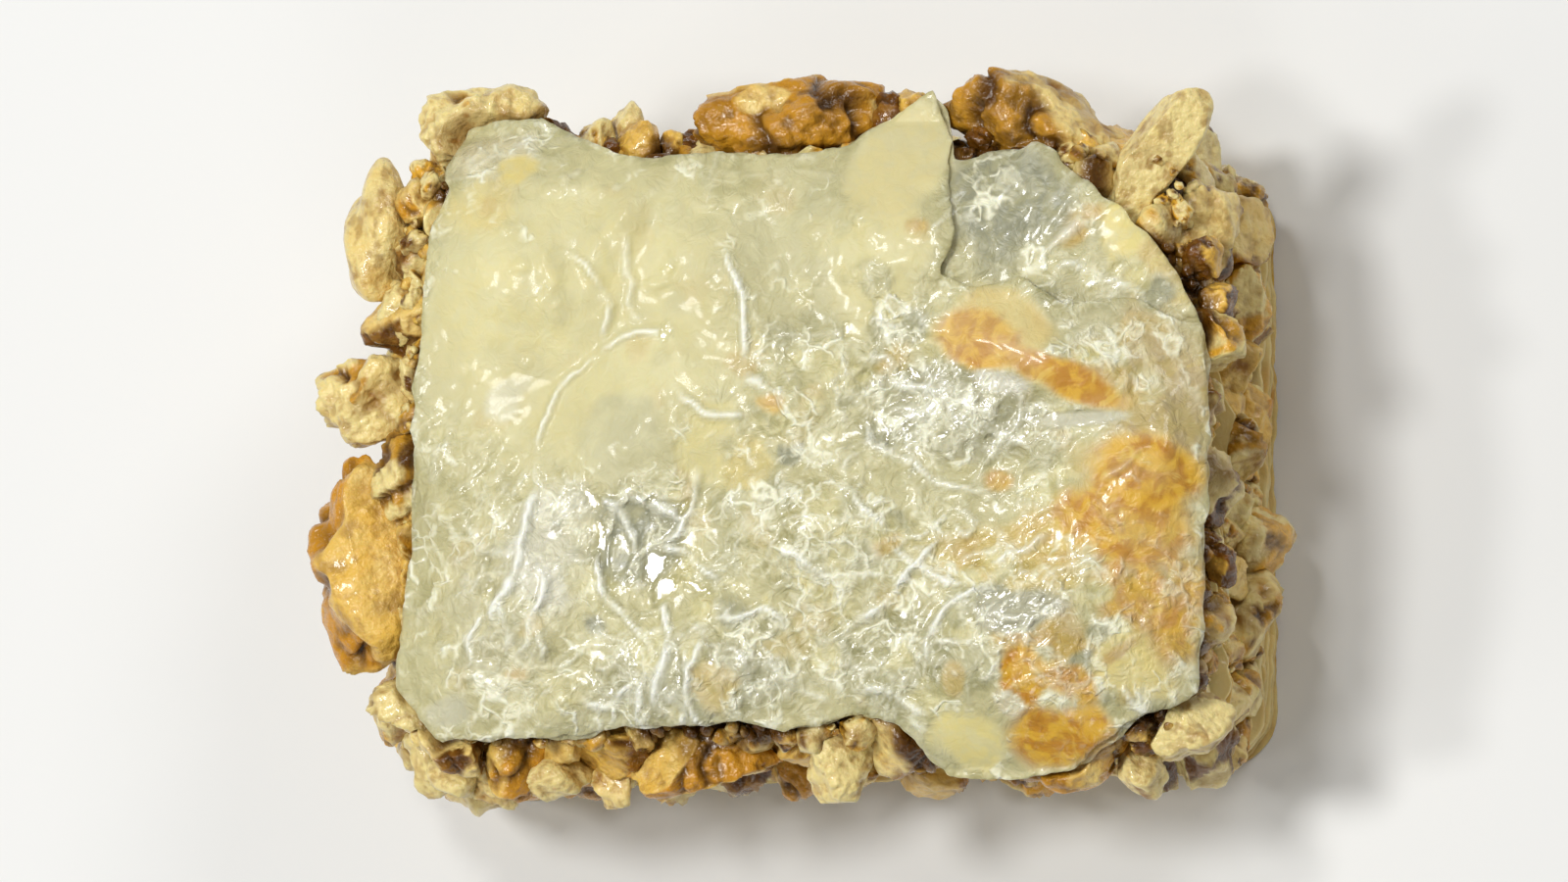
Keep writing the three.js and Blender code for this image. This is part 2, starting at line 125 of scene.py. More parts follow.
def in_plan(x, y):
    """Points at height 0, for noise that is the same at every height."""
    return np.stack([x, y, 0 * x], axis=-1)


def fray(x, y, size, depth, seed):
    """A cloud in plan, from -depth to depth, that bends an outline or a line."""
    return depth * cloud(in_plan(x, y), size, 3, seed)


print("noise of two points:", noise(np.array([[0.2, 0.4, 0], [1.7, 2, 5]])).round(3))

# %% [markdown]
# A film that shrinks and creases doesn't follow smooth noise. Its creases meet in a net, as cracks
# in drying mud do. Such nets are the borders between cells round scattered points, so each square
# of a lattice gets one point, and the two nearest points are sought among the nine squares around.


# %% Lines and nets
def ridges(points, size, width, seed=0):
    """Thin curved lines where a cloud passes zero: 1 on the line, falling to 0 at width."""
    return 1 - smoothstep(0, width, np.abs(cloud(points, size, 2, seed)))


def crackle(x, y, size, width, seed=0):
    """Borders of uneven cells, where the two nearest points are equally far: 1 there, falling to 0
    at width."""
    u, v = x / size, y / size
    column, row = np.floor(u), np.floor(v)
    nearest, second = np.full_like(u, 9.0), np.full_like(u, 9.0)
    for a, b in itertools.product((-1, 0, 1), repeat=2):
        item = (column + a) * 57 + (row + b) * 113
        point_u, point_v = column + a + chance(item, seed), row + b + chance(item, seed + 0.5)
        far = np.hypot(point_u - u, point_v - v)
        second = np.minimum(second, np.maximum(nearest, far))
        nearest = np.minimum(nearest, far)
    return 1 - smoothstep(0, width, second - nearest)


# %% [markdown]
# ## From arrays to meshes
#
# All the pieces are worked out as arrays of points and triangles. One function hands them to
# Blender. Values that a material needs later, such as where a nut has skin, go along as attributes.


# %% Make a piece from arrays
def add_object(name, data):
    """An object that shows this mesh, light or camera, put in the scene."""
    thing = bpy.data.objects.new(name, data)
    bpy.context.scene.collection.objects.link(thing)
    return thing


def make_piece(name, points, triangles, material, marks=None):
    """A mesh in metres, smooth-shaded and held inside the CAD box. marks are colour attributes:
    up to red, green, blue and alpha for each point."""
    points = np.clip(points, CAD_LOW, CAD_HIGH)
    mesh = bpy.data.meshes.new(name)
    mesh.vertices.add(len(points))
    mesh.vertices.foreach_set("co", np.ascontiguousarray(points * MM, np.float32).ravel())
    mesh.loops.add(triangles.size)
    mesh.loops.foreach_set("vertex_index", np.ascontiguousarray(triangles, np.int32).ravel())
    mesh.polygons.add(len(triangles))
    mesh.polygons.foreach_set("loop_start", np.arange(0, triangles.size, 3, dtype=np.int32))
    mesh.update(calc_edges=True)
    mesh.shade_smooth()
    for mark, values in (marks or {}).items():
        layer = mesh.attributes.new(mark, "FLOAT_COLOR", "POINT")
        rgba = np.ones((len(points), 4), np.float32)
        rgba[:, : values.shape[-1]] = values
        layer.data.foreach_set("color", rgba.ravel())
    piece = add_object(name, mesh)
    piece.data.materials.append(material)
    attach(piece, "root")
    print(f"{name}: {len(triangles)} triangles")
    return piece


# %% [markdown]
# The sheets are cut from a grid. Everything else here is closed and roundish, so it can be rings of
# points with a pole at each end, as on a globe, and the rings are a grid that meets itself. The
# order of a triangle's three points says which way it faces, and all of them face outwards.


# %% Triangles for grids, rings and balls
def grid_triangles(index):
    """Two triangles for each square of a grid of point numbers, first down and then across."""
    p, q, r, s = index[:-1, :-1], index[1:, :-1], index[1:, 1:], index[:-1, 1:]
    return np.stack([p, q, r, p, r, s], axis=-1).reshape(-1, 3)


def ring_triangles(rings, around):
    """Joins rings of points, listed upwards and anticlockwise, and closes them with a pole below
    and one above. The poles are the last two points."""
    index = np.arange(rings * around).reshape(rings, around)
    index = np.concatenate([index, index[:, :1]], axis=1)
    low, high = rings * around, rings * around + 1
    bottom = np.stack([np.full(around, low), index[0, 1:], index[0, :-1]], axis=-1)
    top = np.stack([np.full(around, high), index[-1, :-1], index[-1, 1:]], axis=-1)
    return np.concatenate([grid_triangles(index.T), bottom, top])


def ball(around, rings):
    """Directions on a unit ball, ring by ring from the south pole, with the two poles last."""
    tilt = np.pi * (np.arange(1, rings + 1) / (rings + 1) - 0.5)
    turn = 2 * np.pi * np.arange(around) / around
    flat = np.cos(tilt)[:, None]
    x, y = flat * np.cos(turn), flat * np.sin(turn)
    z = np.broadcast_to(np.sin(tilt)[:, None], x.shape)
    directions = np.stack([x, y, z], axis=-1).reshape(-1, 3)
    poles = [[0, 0, -1], [0, 0, 1]]
    return np.concatenate([directions, poles]), ring_triangles(rings, around)


print("a ball of 8 by 5:", len(ball(8, 5)[0]), "points and", len(ball(8, 5)[1]), "triangles")

# %% [markdown]
# ## Materials
#
# Everything on this piece is wet with syrup, so each material has a clear coat over a soft body
# that lets some light in. What differs is the body: pale, slightly clear pastry, brown veined
# walnut skin, and the cream flesh that shows where a kernel has broken. Materials are built from
# nodes by code, and a few short helpers keep that readable.


# %% Node helpers
def add_node(tree, kind, inputs=None, **settings):
    """A node with its settings made and each input set to a value or linked to a socket."""
    node = tree.nodes.new(kind)
    for key, value in settings.items():
        setattr(node, key, value)
    for key, value in (inputs or {}).items():
        if isinstance(value, bpy.types.NodeSocket):
            tree.links.new(value, node.inputs[key])
        else:
            node.inputs[key].default_value = value
    return node


def math_step(operation):
    """A function that adds one node of arithmetic to a tree and returns its result."""

    def step(tree, one, other=0.0, clamp=False):
        settings = {"operation": operation, "use_clamp": clamp}
        return add_node(tree, "ShaderNodeMath", {0: one, 1: other}, **settings).outputs[0]

    return step


times, over, plus = math_step("MULTIPLY"), math_step("DIVIDE"), math_step("ADD")
minus, larger, without_sign = math_step("SUBTRACT"), math_step("MAXIMUM"), math_step("ABSOLUTE")


def vector_step(tree, operation, inputs):
    """The result of one node of vector arithmetic."""
    node = add_node(tree, "ShaderNodeVectorMath", inputs, operation=operation)
    return node.outputs["Vector"]


def ramp_node(tree, value, low, high, start=0.0, end=1.0):
    """start where value is low, end where it is high, and a smooth step between them."""
    limits = {"From Min": low, "From Max": high, "To Min": start, "To Max": end}
    kind = "ShaderNodeMapRange"
    node = add_node(tree, kind, {"Value": value, **limits}, interpolation_type="SMOOTHSTEP")
    return node.outputs["Result"]


def mix_colour(tree, share, one, other):
    """The first colour where share is 0, and the second where it is 1."""
    inputs = {"Factor": share, 6: one, 7: other}
    return add_node(tree, "ShaderNodeMix", inputs, data_type="RGBA").outputs[2]


def noise_node(tree, vector, scale, detail=2.0, distortion=0.0):
    """Blender's noise, from 0 to 1. It repeats its spots about scale times in a metre."""
    inputs = {"Vector": vector, "Scale": scale, "Detail": detail, "Distortion": distortion}
    return add_node(tree, "ShaderNodeTexNoise", inputs).outputs["Fac"]


def linear(red, green, blue):
    """A colour given as display values from 0 to 255, as linear light."""
    return tuple(((c / 255 + 0.055) / 1.055) ** 2.4 for c in (red, green, blue)) + (1.0,)


def read_marks(tree, attribute):
    """The red, green, blue and alpha that a mesh attribute carries at each point."""
    node = add_node(tree, "ShaderNodeAttribute", attribute_name=attribute)
    parts = add_node(tree, "ShaderNodeSeparateColor", {"Color": node.outputs["Color"]})
    return *(parts.outputs[k] for k in range(3)), node.outputs["Alpha"]


# %% [markdown]
# Three effects are shared by several materials, so each is a node group, built once and placed
# with its own scale and width. The first is for wrinkles that curl: lines along which a distorted
# noise passes through its middle value. A slower noise breaks the lines up, or they would run on
# without an end.

# %% Shared effect: curly wrinkles
SCALAR, VECTOR = "NodeSocketFloat", "NodeSocketVector"
LINE_INPUTS = {
    "Vector": (VECTOR, None),
    "Scale": (SCALAR, 400.0),
    "Width": (SCALAR, 0.05),
    "Cover": (SCALAR, 0.5),
}


def new_group(name, inputs, output):
    """An empty shader node group. inputs maps each name to its kind of socket and default."""
    tree = bpy.data.node_groups.new(name, "ShaderNodeTree")
    for label, (kind, default) in inputs.items():
        socket = tree.interface.new_socket(label, in_out="INPUT", socket_type=kind)
        if default is not None:
            socket.default_value = default
    tree.interface.new_socket(output, in_out="OUTPUT", socket_type=SCALAR)
    given, result = tree.nodes.new("NodeGroupInput"), tree.nodes.new("NodeGroupOutput")
    return tree, [given.outputs[label] for label in inputs], result.inputs[output]


def group_node(tree, group, **inputs):
    """What a shared effect gives in this tree, with its inputs set or linked."""
    return add_node(tree, "ShaderNodeGroup", inputs, node_tree=group).outputs[0]


def break_up(tree, lines, where, scale, cover, hardness):
    """Keeps lines where a slow noise is above 1 - cover, and fades them within 1 / hardness."""
    above = minus(tree, noise_node(tree, where, scale, 2.0), minus(tree, 1.0, cover))
    return times(tree, lines, times(tree, above, hardness, clamp=True))


def build_wrinkles():
    """1 where the distorted noise is at its middle value, falling to 0 at width."""
    tree, (where, scale, width, cover), result = new_group("curly_wrinkles", LINE_INPUTS, "Lines")
    field = noise_node(tree, where, scale, 1.5, 0.9)
    away = without_sign(tree, minus(tree, field, 0.5))
    line = ramp_node(tree, over(tree, away, width), 1.0, 0.0)
    slow = times(tree, scale, 0.45)
    tree.links.new(break_up(tree, line, where, slow, cover, 5.0), result)
    return tree


wrinkle_group = build_wrinkles()
print("group:", wrinkle_group.name, "with", len(wrinkle_group.nodes), "nodes")

# %% [markdown]
# The second is the net of fine creases that a wet film shrinks into. The Voronoi texture knows the
# distance to the nearest border between its cells. The place that it reads is bent by a noise, so
# that the borders aren't straight.


# %% Shared effect: crackled creases
def build_crackle():
    """1 on the borders of uneven cells, falling to 0 at width, with places moved by a noise."""
    name = "crackled_creases"
    tree, (where, scale, width, cover), result = new_group(name, LINE_INPUTS, "Lines")
    noise_inputs = {"Vector": where, "Scale": times(tree, scale, 1.3), "Detail": 2.0}
    bend = add_node(tree, "ShaderNodeTexNoise", noise_inputs).outputs["Color"]
    bend = vector_step(tree, "SUBTRACT", {0: bend, 1: (0.5, 0.5, 0.5)})
    bend = vector_step(tree, "SCALE", {0: bend, "Scale": over(tree, 1.1, scale)})
    moved = {"Vector": vector_step(tree, "ADD", {0: where, 1: bend}), "Scale": scale}
    cells = add_node(tree, "ShaderNodeTexVoronoi", moved, feature="DISTANCE_TO_EDGE")
    line = ramp_node(tree, over(tree, cells.outputs["Distance"], width), 1.0, 0.0)
    slow, cover = times(tree, scale, 1.1), times(tree, cover, 0.88)
    tree.links.new(break_up(tree, line, where, slow, cover, 7.0), result)
    return tree


crackle_group = build_crackle()
print("group:", crackle_group.name, "with", len(crackle_group.nodes), "nodes")

# %% [markdown]
# The third is the grain of crushed nuts, a fine noise and a coarser one in equal parts.


# %% Shared effect: crumbly grain
def build_grain():
    """Half a noise of the given scale, and half one about three times as coarse."""
    inputs = {"Vector": (VECTOR, None), "Scale": (SCALAR, 1500.0)}
    tree, (where, scale), result = new_group("crumbly_grain", inputs, "Height")
    fine = noise_node(tree, where, scale, 3.0)
    coarse = noise_node(tree, where, times(tree, scale, 0.35), 2.0)
    tree.links.new(plus(tree, times(tree, fine, 0.5), times(tree, coarse, 0.5)), result)
    return tree


grain_group = build_grain()
print("group:", grain_group.name, "with", len(grain_group.nodes), "nodes")

# %% [markdown]
# Syrup is a clear layer over whatever is below it. A Principled shader has a coat for that, with a
# roughness of its own. Light also goes a little way into pastry and nuts and comes out warmer,
# which is what the subsurface settings do.

# %% A wet material to start from
SYRUP_IOR = 1.45
RED_GOES_DEEPEST = (1.0, 0.75, 0.42)


def new_material(name, values):
    """A Principled material with its inputs set, its node tree and its shader."""
    material = bpy.data.materials.new(name)
    material.use_nodes = True
    shader = material.node_tree.nodes["Principled BSDF"]
    for socket, value in values.items():
        shader.inputs[socket].default_value = value
    return material, material.node_tree, shader


def wet_material(name, roughness, coat, coat_roughness, body_light, body_radius):
    """A clear coat over a body that lets light in by body_radius mm."""
    material, tree, shader = new_material(name, {
        "Roughness": roughness,
        "IOR": SYRUP_IOR,
        "Coat Weight": coat,
        "Coat Roughness": coat_roughness,
        "Coat IOR": SYRUP_IOR,
        "Subsurface Weight": body_light,
        "Subsurface Radius": RED_GOES_DEEPEST,
        "Subsurface Scale": body_radius * MM,
    })
    where = add_node(tree, "ShaderNodeTexCoord").outputs["Object"]
    return material, tree, shader, where


def finish_surface(tree, shader, colour, height, distance):
    """Colour to the base, and height, in units of distance mm, through a bump to the normal."""
    tree.links.new(colour, shader.inputs["Base Color"])
    bump = add_node(tree, "ShaderNodeBump", {"Height": height, "Distance": distance * MM})
    tree.links.new(bump.outputs["Normal"], shader.inputs["Normal"])


# %% [markdown]
# The chopped walnuts carry an attribute "kernel". Red says how much of a point is skin, green how
# dark that skin is, partly its own tone and partly painted shade in furrows and under the sheet's
# rim, blue how far syrup has soaked into the flesh, and alpha is painted shade in crevices. Skin
# runs from amber to deep brown. Flesh is cream where it is fresh and gold where it is soaked.

# %% Chopped walnut
AMBER_SKIN, WET_SKIN = linear(228, 174, 56), linear(204, 138, 28)
# Crevice colours are painted shade, one for skin and one for flesh
DARK_SKIN, SKIN_CREVICE_SHADE = linear(110, 66, 12), linear(74, 45, 8)
FRESH_FLESH, SOAKED_FLESH = linear(238, 218, 148), linear(232, 186, 80)
FLESH_SPECKS, FLESH_CREVICE_SHADE = linear(180, 134, 58), linear(150, 104, 36)


def walnut_material():
    """Skin and flesh each between two colours, then specks of grain, and painted shade in the
    crevices over all.
    """
    material, tree, shader, where = wet_material("chopped_walnut", 0.3, 0.32, 0.07, 0.25, 0.7)
    skin, dark, soak, crevice_shade = read_marks(tree, "kernel")
    patch = noise_node(tree, where, 420.0, 3.0, 0.4)
    uneven = times(tree, minus(tree, patch, 0.5), 0.9)
    shade = ramp_node(tree, plus(tree, dark, uneven), 0.1, 0.95)
    skin_colour = mix_colour(tree, soak, AMBER_SKIN, WET_SKIN)
    skin_colour = mix_colour(tree, shade, skin_colour, DARK_SKIN)
    soaked = ramp_node(tree, plus(tree, soak, uneven), 0.15, 0.95)
    flesh_colour = mix_colour(tree, soaked, FRESH_FLESH, SOAKED_FLESH)
    colour = mix_colour(tree, skin, flesh_colour, skin_colour)
    grain = group_node(tree, grain_group, Vector=where, Scale=1700.0)
    colour = mix_colour(tree, ramp_node(tree, grain, 0.36, 0.5, 0.5, 0.0), colour, FLESH_SPECKS)
    # Painted shade in the crevices, darker on skin than on flesh
    deep = mix_colour(tree, skin, FLESH_CREVICE_SHADE, SKIN_CREVICE_SHADE)
    colour = mix_colour(tree, crevice_shade, colour, deep)
    tree.links.new(ramp_node(tree, skin, 0.0, 1.0, 0.36, 0.2), shader.inputs["Roughness"])
    finish_surface(tree, shader, colour, grain, 0.6)
    return material


walnut_look = walnut_material()

# %% [markdown]
# Between the kernels lies a dark paste of fine crumbs and syrup, its browns darkened further as
# painted shade in the gaps. It shows only in the gaps, so two browns by a slow noise, and a darker
# one painted as shade in the hollows of the grain, are enough.

# %% Nut paste
# The browns are partly painted shade in the gaps, and the darkest is painted shade in the grain's
# hollows
DARK_PASTE, LIGHT_PASTE, PASTE_HOLLOW_SHADE = linear(60, 36, 6), linear(112, 72, 18), linear(48, 26, 4)


def paste_material():
    """Two browns in patches, with painted shade in the hollows of the grain."""
    material, tree, shader, where = wet_material("nut_paste", 0.5, 0.12, 0.15, 0.15, 0.7)
    grain = group_node(tree, grain_group, Vector=where, Scale=900.0)
    patch = noise_node(tree, where, 330.0, 3.0, 0.3)
    base = mix_colour(tree, ramp_node(tree, patch, 0.4, 0.65), DARK_PASTE, LIGHT_PASTE)
    colour = mix_colour(tree, ramp_node(tree, grain, 0.35, 0.55), PASTE_HOLLOW_SHADE, base)
    finish_surface(tree, shader, colour, grain, 0.8)
    return material


paste_look = paste_material()

# %% [markdown]
# The top sheet is so thin and wet that the nuts show through it. Real see-through pastry would
# need every nut modelled below it and a very slow render, so the sheet is solid and carries what
# presses against it as an attribute "below": red for amber skin, green for cream flesh, blue for a
# hollow, where the sheet hangs free and is painted grey as the shade in the hollow below it, and
# alpha for a milky sheen, a painted reflection of light on the wet sheet.

# %% What shows through a sheet
CREAM_BELOW, MILKY_SHEEN = linear(228, 211, 136), linear(226, 222, 206)
NUT_BELOW, DARK_NUT_BELOW = linear(225, 174, 52), linear(193, 132, 28)
DARK_VEIN, LIGHT_VEIN = linear(144, 86, 16), linear(232, 194, 88)
BLOTCH_DARKER, WRINKLE_SHADE_DARKER = (14, 14, 14), (66, 64, 70)


def darker(tint, steps):
    """A display colour some steps darker, as linear light."""
    return linear(*(c - down for c, down in zip(tint, steps)))


def nut_below(tree, where, mottle):
    """Amber in two shades, with dark and light veins."""
    nut = mix_colour(tree, ramp_node(tree, mottle, 0.38, 0.62), NUT_BELOW, DARK_NUT_BELOW)
    veins = noise_node(tree, where, 420.0, 3.0, 1.5)
    nut = mix_colour(tree, ramp_node(tree, veins, 0.6, 0.75, 0.0, 0.55), nut, DARK_VEIN)
    return mix_colour(tree, ramp_node(tree, veins, 0.42, 0.3, 0.0, 0.7), nut, LIGHT_VEIN)


def sheet_colour(tree, where, tint, grey, below, wrinkled, clump):
    """The sheet's own tint in blotches, with painted shade between the wrinkles. Over that come the
    grey of a hollow, painted as its shade seen through, cream flesh, a painted milky sheen and
    amber skin, each by its own mark."""
    amber, cream, hollow, milky_sheen = below
    blotch = noise_node(tree, where, 170.0, 4.0, 0.5)
    mottle = noise_node(tree, where, 700.0, 4.0, 0.8)
    share = ramp_node(tree, blotch, 0.38, 0.62)
    colour = mix_colour(tree, share, linear(*tint), darker(tint, BLOTCH_DARKER))
    # Painted shade between the wrinkles, less of it in clumps
    wrinkle_shade = ramp_node(tree, mottle, 0.62, 0.4, 0.1, 0.9)
    wrinkle_shade = times(tree, ramp_node(tree, wrinkled, 0.3, 0.65), wrinkle_shade)
    wrinkle_shade = times(tree, wrinkle_shade, ramp_node(tree, clump, 0.0, 1.0, 1.0, 0.45))
    colour = mix_colour(tree, wrinkle_shade, colour, darker(tint, WRINKLE_SHADE_DARKER))
    # The grey of a hollow: painted shade seen through the sheet
    share = times(tree, hollow, ramp_node(tree, mottle, 0.35, 0.6, 0.6, 1.0))
    colour = mix_colour(tree, share, colour, linear(*grey))
    share = times(tree, cream, ramp_node(tree, mottle, 0.35, 0.6, 0.45, 1.0))
    colour = mix_colour(tree, share, colour, CREAM_BELOW)
    # Milky sheen: a painted reflection of light on the wet sheet
    colour = mix_colour(tree, milky_sheen, colour, MILKY_SHEEN)
    share = times(tree, amber, ramp_node(tree, blotch, 0.3, 0.5, 0.8, 1.0))
    return mix_colour(tree, share, colour, nut_below(tree, where, mottle))


# %% [markdown]
# Wet pastry has far more creases than a mesh can hold. The large ones are in the mesh, and the
# finest are drawn here as pale lines with a little height: partly the sheet doubled in a crease,
# partly painted glints. An attribute "folds" says where: red for wrinkled, green for a ridge,
# painted pale for the same two causes, blue for wet, and alpha for a pool of syrup, smooth as
# glass.

# %% Wet pastry
PALE_LINE_AND_GLINT, PALE_RIDGE_AND_HIGHLIGHT = linear(253, 249, 218), linear(255, 254, 238)


def crease_lines(tree, where, wrinkled, clump):
    """Coarse creases, fine ones and curls, whichever is strongest, more of them in clumps."""
    patchy = ramp_node(tree, noise_node(tree, where, 120.0, 2.0), 0.35, 0.65, 0.8, 1.2)
    cover = times(tree, wrinkled, patchy)
    cover = times(tree, cover, ramp_node(tree, clump, 0.0, 1.0, 0.8, 1.25))
    less = times(tree, cover, 0.8)
    coarse = group_node(tree, crackle_group, Vector=where, Scale=320.0, Width=0.1, Cover=cover)
    fine = group_node(tree, crackle_group, Vector=where, Scale=560.0, Width=0.13, Cover=cover)
    curls = group_node(tree, wrinkle_group, Vector=where, Scale=300.0, Width=0.05, Cover=less)
    lines = larger(tree, coarse, times(tree, fine, 0.6))
    return larger(tree, lines, times(tree, curls, 0.4))


def pastry_material(name, tint, grey, coat):
    """tint is the sheet's own display colour, and grey the painted shade of a hollow below it."""
    material, tree, shader, where = wet_material(name, 0.4, coat, 0.1, 0.25, 0.9)
    below = read_marks(tree, "below")
    wrinkled, ridge, wet, pool = read_marks(tree, "folds")
    dry = minus(tree, 1.0, pool)
    clump = ramp_node(tree, noise_node(tree, where, 330.0, 3.0, 0.6), 0.42, 0.58)
    colour = sheet_colour(tree, where, tint, grey, below, wrinkled, clump)
    lines = times(tree, crease_lines(tree, where, wrinkled, clump), dry)
    shown = ramp_node(tree, below[0], 0.0, 0.8, 0.92, 0.3)
    # Pale lines and ridges: partly the sheet doubled in creases, partly painted glints and
    # highlights
    colour = mix_colour(tree, times(tree, lines, shown), colour, PALE_LINE_AND_GLINT)
    colour = mix_colour(tree, times(tree, ridge, shown), colour, PALE_RIDGE_AND_HIGHLIGHT)

    crinkle = noise_node(tree, where, 900.0, 3.0, 1.2)
    rough = times(tree, ramp_node(tree, wrinkled, 0.2, 0.6, 0.3, 1.2), dry)
    height = plus(tree, times(tree, crinkle, rough), times(tree, lines, 0.35))
    glassy = ramp_node(tree, dry, 0.0, 1.0, 0.25, 1.0)
    gloss = times(tree, ramp_node(tree, wet, 0.0, 1.0, 0.55, 0.15), glassy)
    tree.links.new(gloss, shader.inputs["Roughness"])
    coated = ramp_node(tree, wet, 0.0, 0.9, 0.1 * coat, coat)
    tree.links.new(coated, shader.inputs["Coat Weight"])
    finish_surface(tree, shader, colour, height, 0.25)
    return material


top_look = pastry_material("wet_top_pastry", (220, 213, 166), (150, 149, 122), 1.0)
under_look = pastry_material("soaked_pastry", (234, 210, 146), (202, 168, 96), 0.5)
print("materials:", [m.name for m in bpy.data.materials if m.users])

# %% [markdown]
# ## The walls
#
# A knife cut the four sides, so in plan they follow a rectangle with round corners, a little wider
# at the foot. The left side lay against the tray and has spread. Every nut in the walls, the paste
# behind them and the sheets that stick out between them are placed by this one function.

# %% The wall in plan
BASE_HEIGHT, TOP_LEVEL = 5.0, 26.2
WALL_LENGTH, WALL_WIDTH, WALL_RADIUS = 25.9, 18.9, 2.6
BATTER, LEFT_BULGE = 1.2, 3.2


def wall(share, z):
    """The point and the outward direction at a share of the way round and a height z. The straight
    sides and quarter circles follow each other from the left end of the front, and the point
    stands out by the lean."""
    a, b = WALL_LENGTH - WALL_RADIUS, WALL_WIDTH - WALL_RADIUS
    arc = WALL_RADIUS * np.pi / 2
    stops = np.cumsum([0, 2 * a, arc, 2 * b, arc, 2 * a, arc, 2 * b, arc])
    at = (share - np.floor(share)) * stops[-1]
    x = np.interp(at, stops, [-a, a, a, a, a, -a, -a, -a, -a])
    y = np.interp(at, stops, [-b, -b, -b, b, b, b, b, -b, -b])
    angle = np.radians(np.interp(at, stops, [-90, -90, 0, 0, 90, 90, 180, 180, 270]))
    height = np.clip((z - BASE_HEIGHT) / (TOP_LEVEL - BASE_HEIGHT), 0, 1)
    bulge = LEFT_BULGE * (1 - height**3) * np.maximum(0, -np.cos(angle))
    reach = WALL_RADIUS + BATTER * (1 - height) + bulge
    outward = np.stack([np.cos(angle), np.sin(angle), 0 * angle], axis=-1)
    point = np.stack([x, y, z + 0 * x], axis=-1) + reach[..., None] * outward
    return point, outward


print("wall at the middle of the front:", wall(np.array([0.15]), 15.0)[0].round(1))

# %% [markdown]
# ## The sheets' heights
#
# The top sheet's level, its drape over the nuts, its slow folds and the droop at its rim are the
# same formula as in the solid below it. The Blender sheet adds what is too fine for the solid.

# %% Height of the top sheet
PIECE_LENGTH, PIECE_WIDTH = 54.8, 39.8
LESSER_NUTS = 34
RIM_DROOP = 1.6

# Nuts that lift the sheet plainly: x, y, length, width, turn in degrees, rise
NUTS_UNDER_SHEET = np.array([
    (17.3, 5.1, 14, 5, -25, 1.9),
    (23.6, -3, 10.5, 8, 55, 2.2),
    (16.4, -12.6, 12, 9, 10, 1.6),
    (7.2, 13.4, 9, 8, 20, 1.4),
    (-10.4, 1.2, 12, 9, 35, 1.9),
    (-20.5, 11.5, 11, 8, -30, 1.5),
    (-19.5, -9.5, 10, 7, 70, 1.3),
    (1.6, -6.2, 11, 8, -15, 1.7),
    (-6.5, -15, 9, 6, 5, 1.2),
    (-4.6, 11.2, 9, 6, -60, 1.3),
    (-0.8, 3, 5, 3.6, 0, 1),
])


def lesser_nuts(count):
    """Small nuts scattered under the sheet, each trait by chance."""
    k = np.arange(count)
    length = mix(3, 5.6, chance(k, 3))
    x = (chance(k, 1) - 0.5) * 0.92 * PIECE_LENGTH
    y = (chance(k, 2) - 0.5) * 0.92 * PIECE_WIDTH
    width, turn, rise = length * mix(0.6, 1, chance(k, 4)), 360 * chance(k, 5), chance(k, 6)
    return np.stack([x, y, length, width, turn, mix(0.35, 0.95, rise)], axis=1)


RISING_NUTS = np.concatenate([NUTS_UNDER_SHEET, lesser_nuts(LESSER_NUTS)])


def oval_distance(x, y, oval):
    """Squared distance from the middle of an ellipse turned in plan, where 1 is its outline. An
    oval is its middle x and y, length, width and turn in degrees."""
    cx, cy, length, width, turn = oval
    c, s = np.cos(np.radians(turn)), np.sin(np.radians(turn))
    p, q = (x - cx) * c + (y - cy) * s, (y - cy) * c - (x - cx) * s
    return (2 * p / length) ** 2 + (2 * q / width) ** 2


def nearness_to_rim(x, y, length, width, most, power):
    """For each direction the distance from the middle over half the size, at most most, raised to
    a high power, so that it is about 0 on the sheet and 1 at its rim. The two are added."""
    sides = (x, length), (y, width)
    return sum(np.minimum(most, np.abs(2 * at) / full) ** power for at, full in sides)


def top_height(x, y):
    """Level, plus the cube root of the summed cubes of all nut bumps, plus slow folds, less the
    droop near the rim."""
    bumps = (nut[5] * np.exp(-0.8 * oval_distance(x, y, nut[:5])) for nut in RISING_NUTS)
    drape = np.cbrt(sum(bump**3 for bump in bumps))
    swell = 0.35 * np.sin(x / 6.1 + 0.7) * np.cos(y / 5.3 - 0.4)
    ripple = 0.2 * np.sin((x + y) / 3.7 + 1.9)
    rim = nearness_to_rim(x, y, PIECE_LENGTH, PIECE_WIDTH, 1.1, 7)
    return TOP_LEVEL + drape + swell + ripple - RIM_DROOP * rim


print("the top sheet's middle is", top_height(0, 0).round(2), "mm up")

# %% [markdown]
# The middle sheet lies on crushed nuts, not on a few large ones, so it only waves: slowly over the
# whole piece and quickly along one diagonal. It also droops where it leaves the wall.

# %% Height of the middle sheet
MIDDLE_LEVEL = 15.4
MIDDLE_LENGTH, MIDDLE_WIDTH = 58.4, 42.4
MIDDLE_DROOP = 0.8


def middle_height(x, y):
    """A slow and a quick wave, less a droop near the rim."""
    slow = 0.45 * np.sin(x / 7.3 + 1.1) * np.cos(y / 6.2 + 0.5)
    quick = 0.25 * np.sin(x / 3.1 - y / 4.3)
    rim = nearness_to_rim(x, y, MIDDLE_LENGTH, MIDDLE_WIDTH, 1.2, 8)
    return MIDDLE_LEVEL + slow + quick - MIDDLE_DROOP * rim


print("the middle sheet's middle is", middle_height(0, 0).round(2), "mm up")

# %% [markdown]
# The top sheet's outline is torn, so it is drawn as a list of corners. Its back right corner is
# missing, and a greyer second sheet shows there. The nuts come first, but they need the outline
# too, to know which of them lie under the sheet.

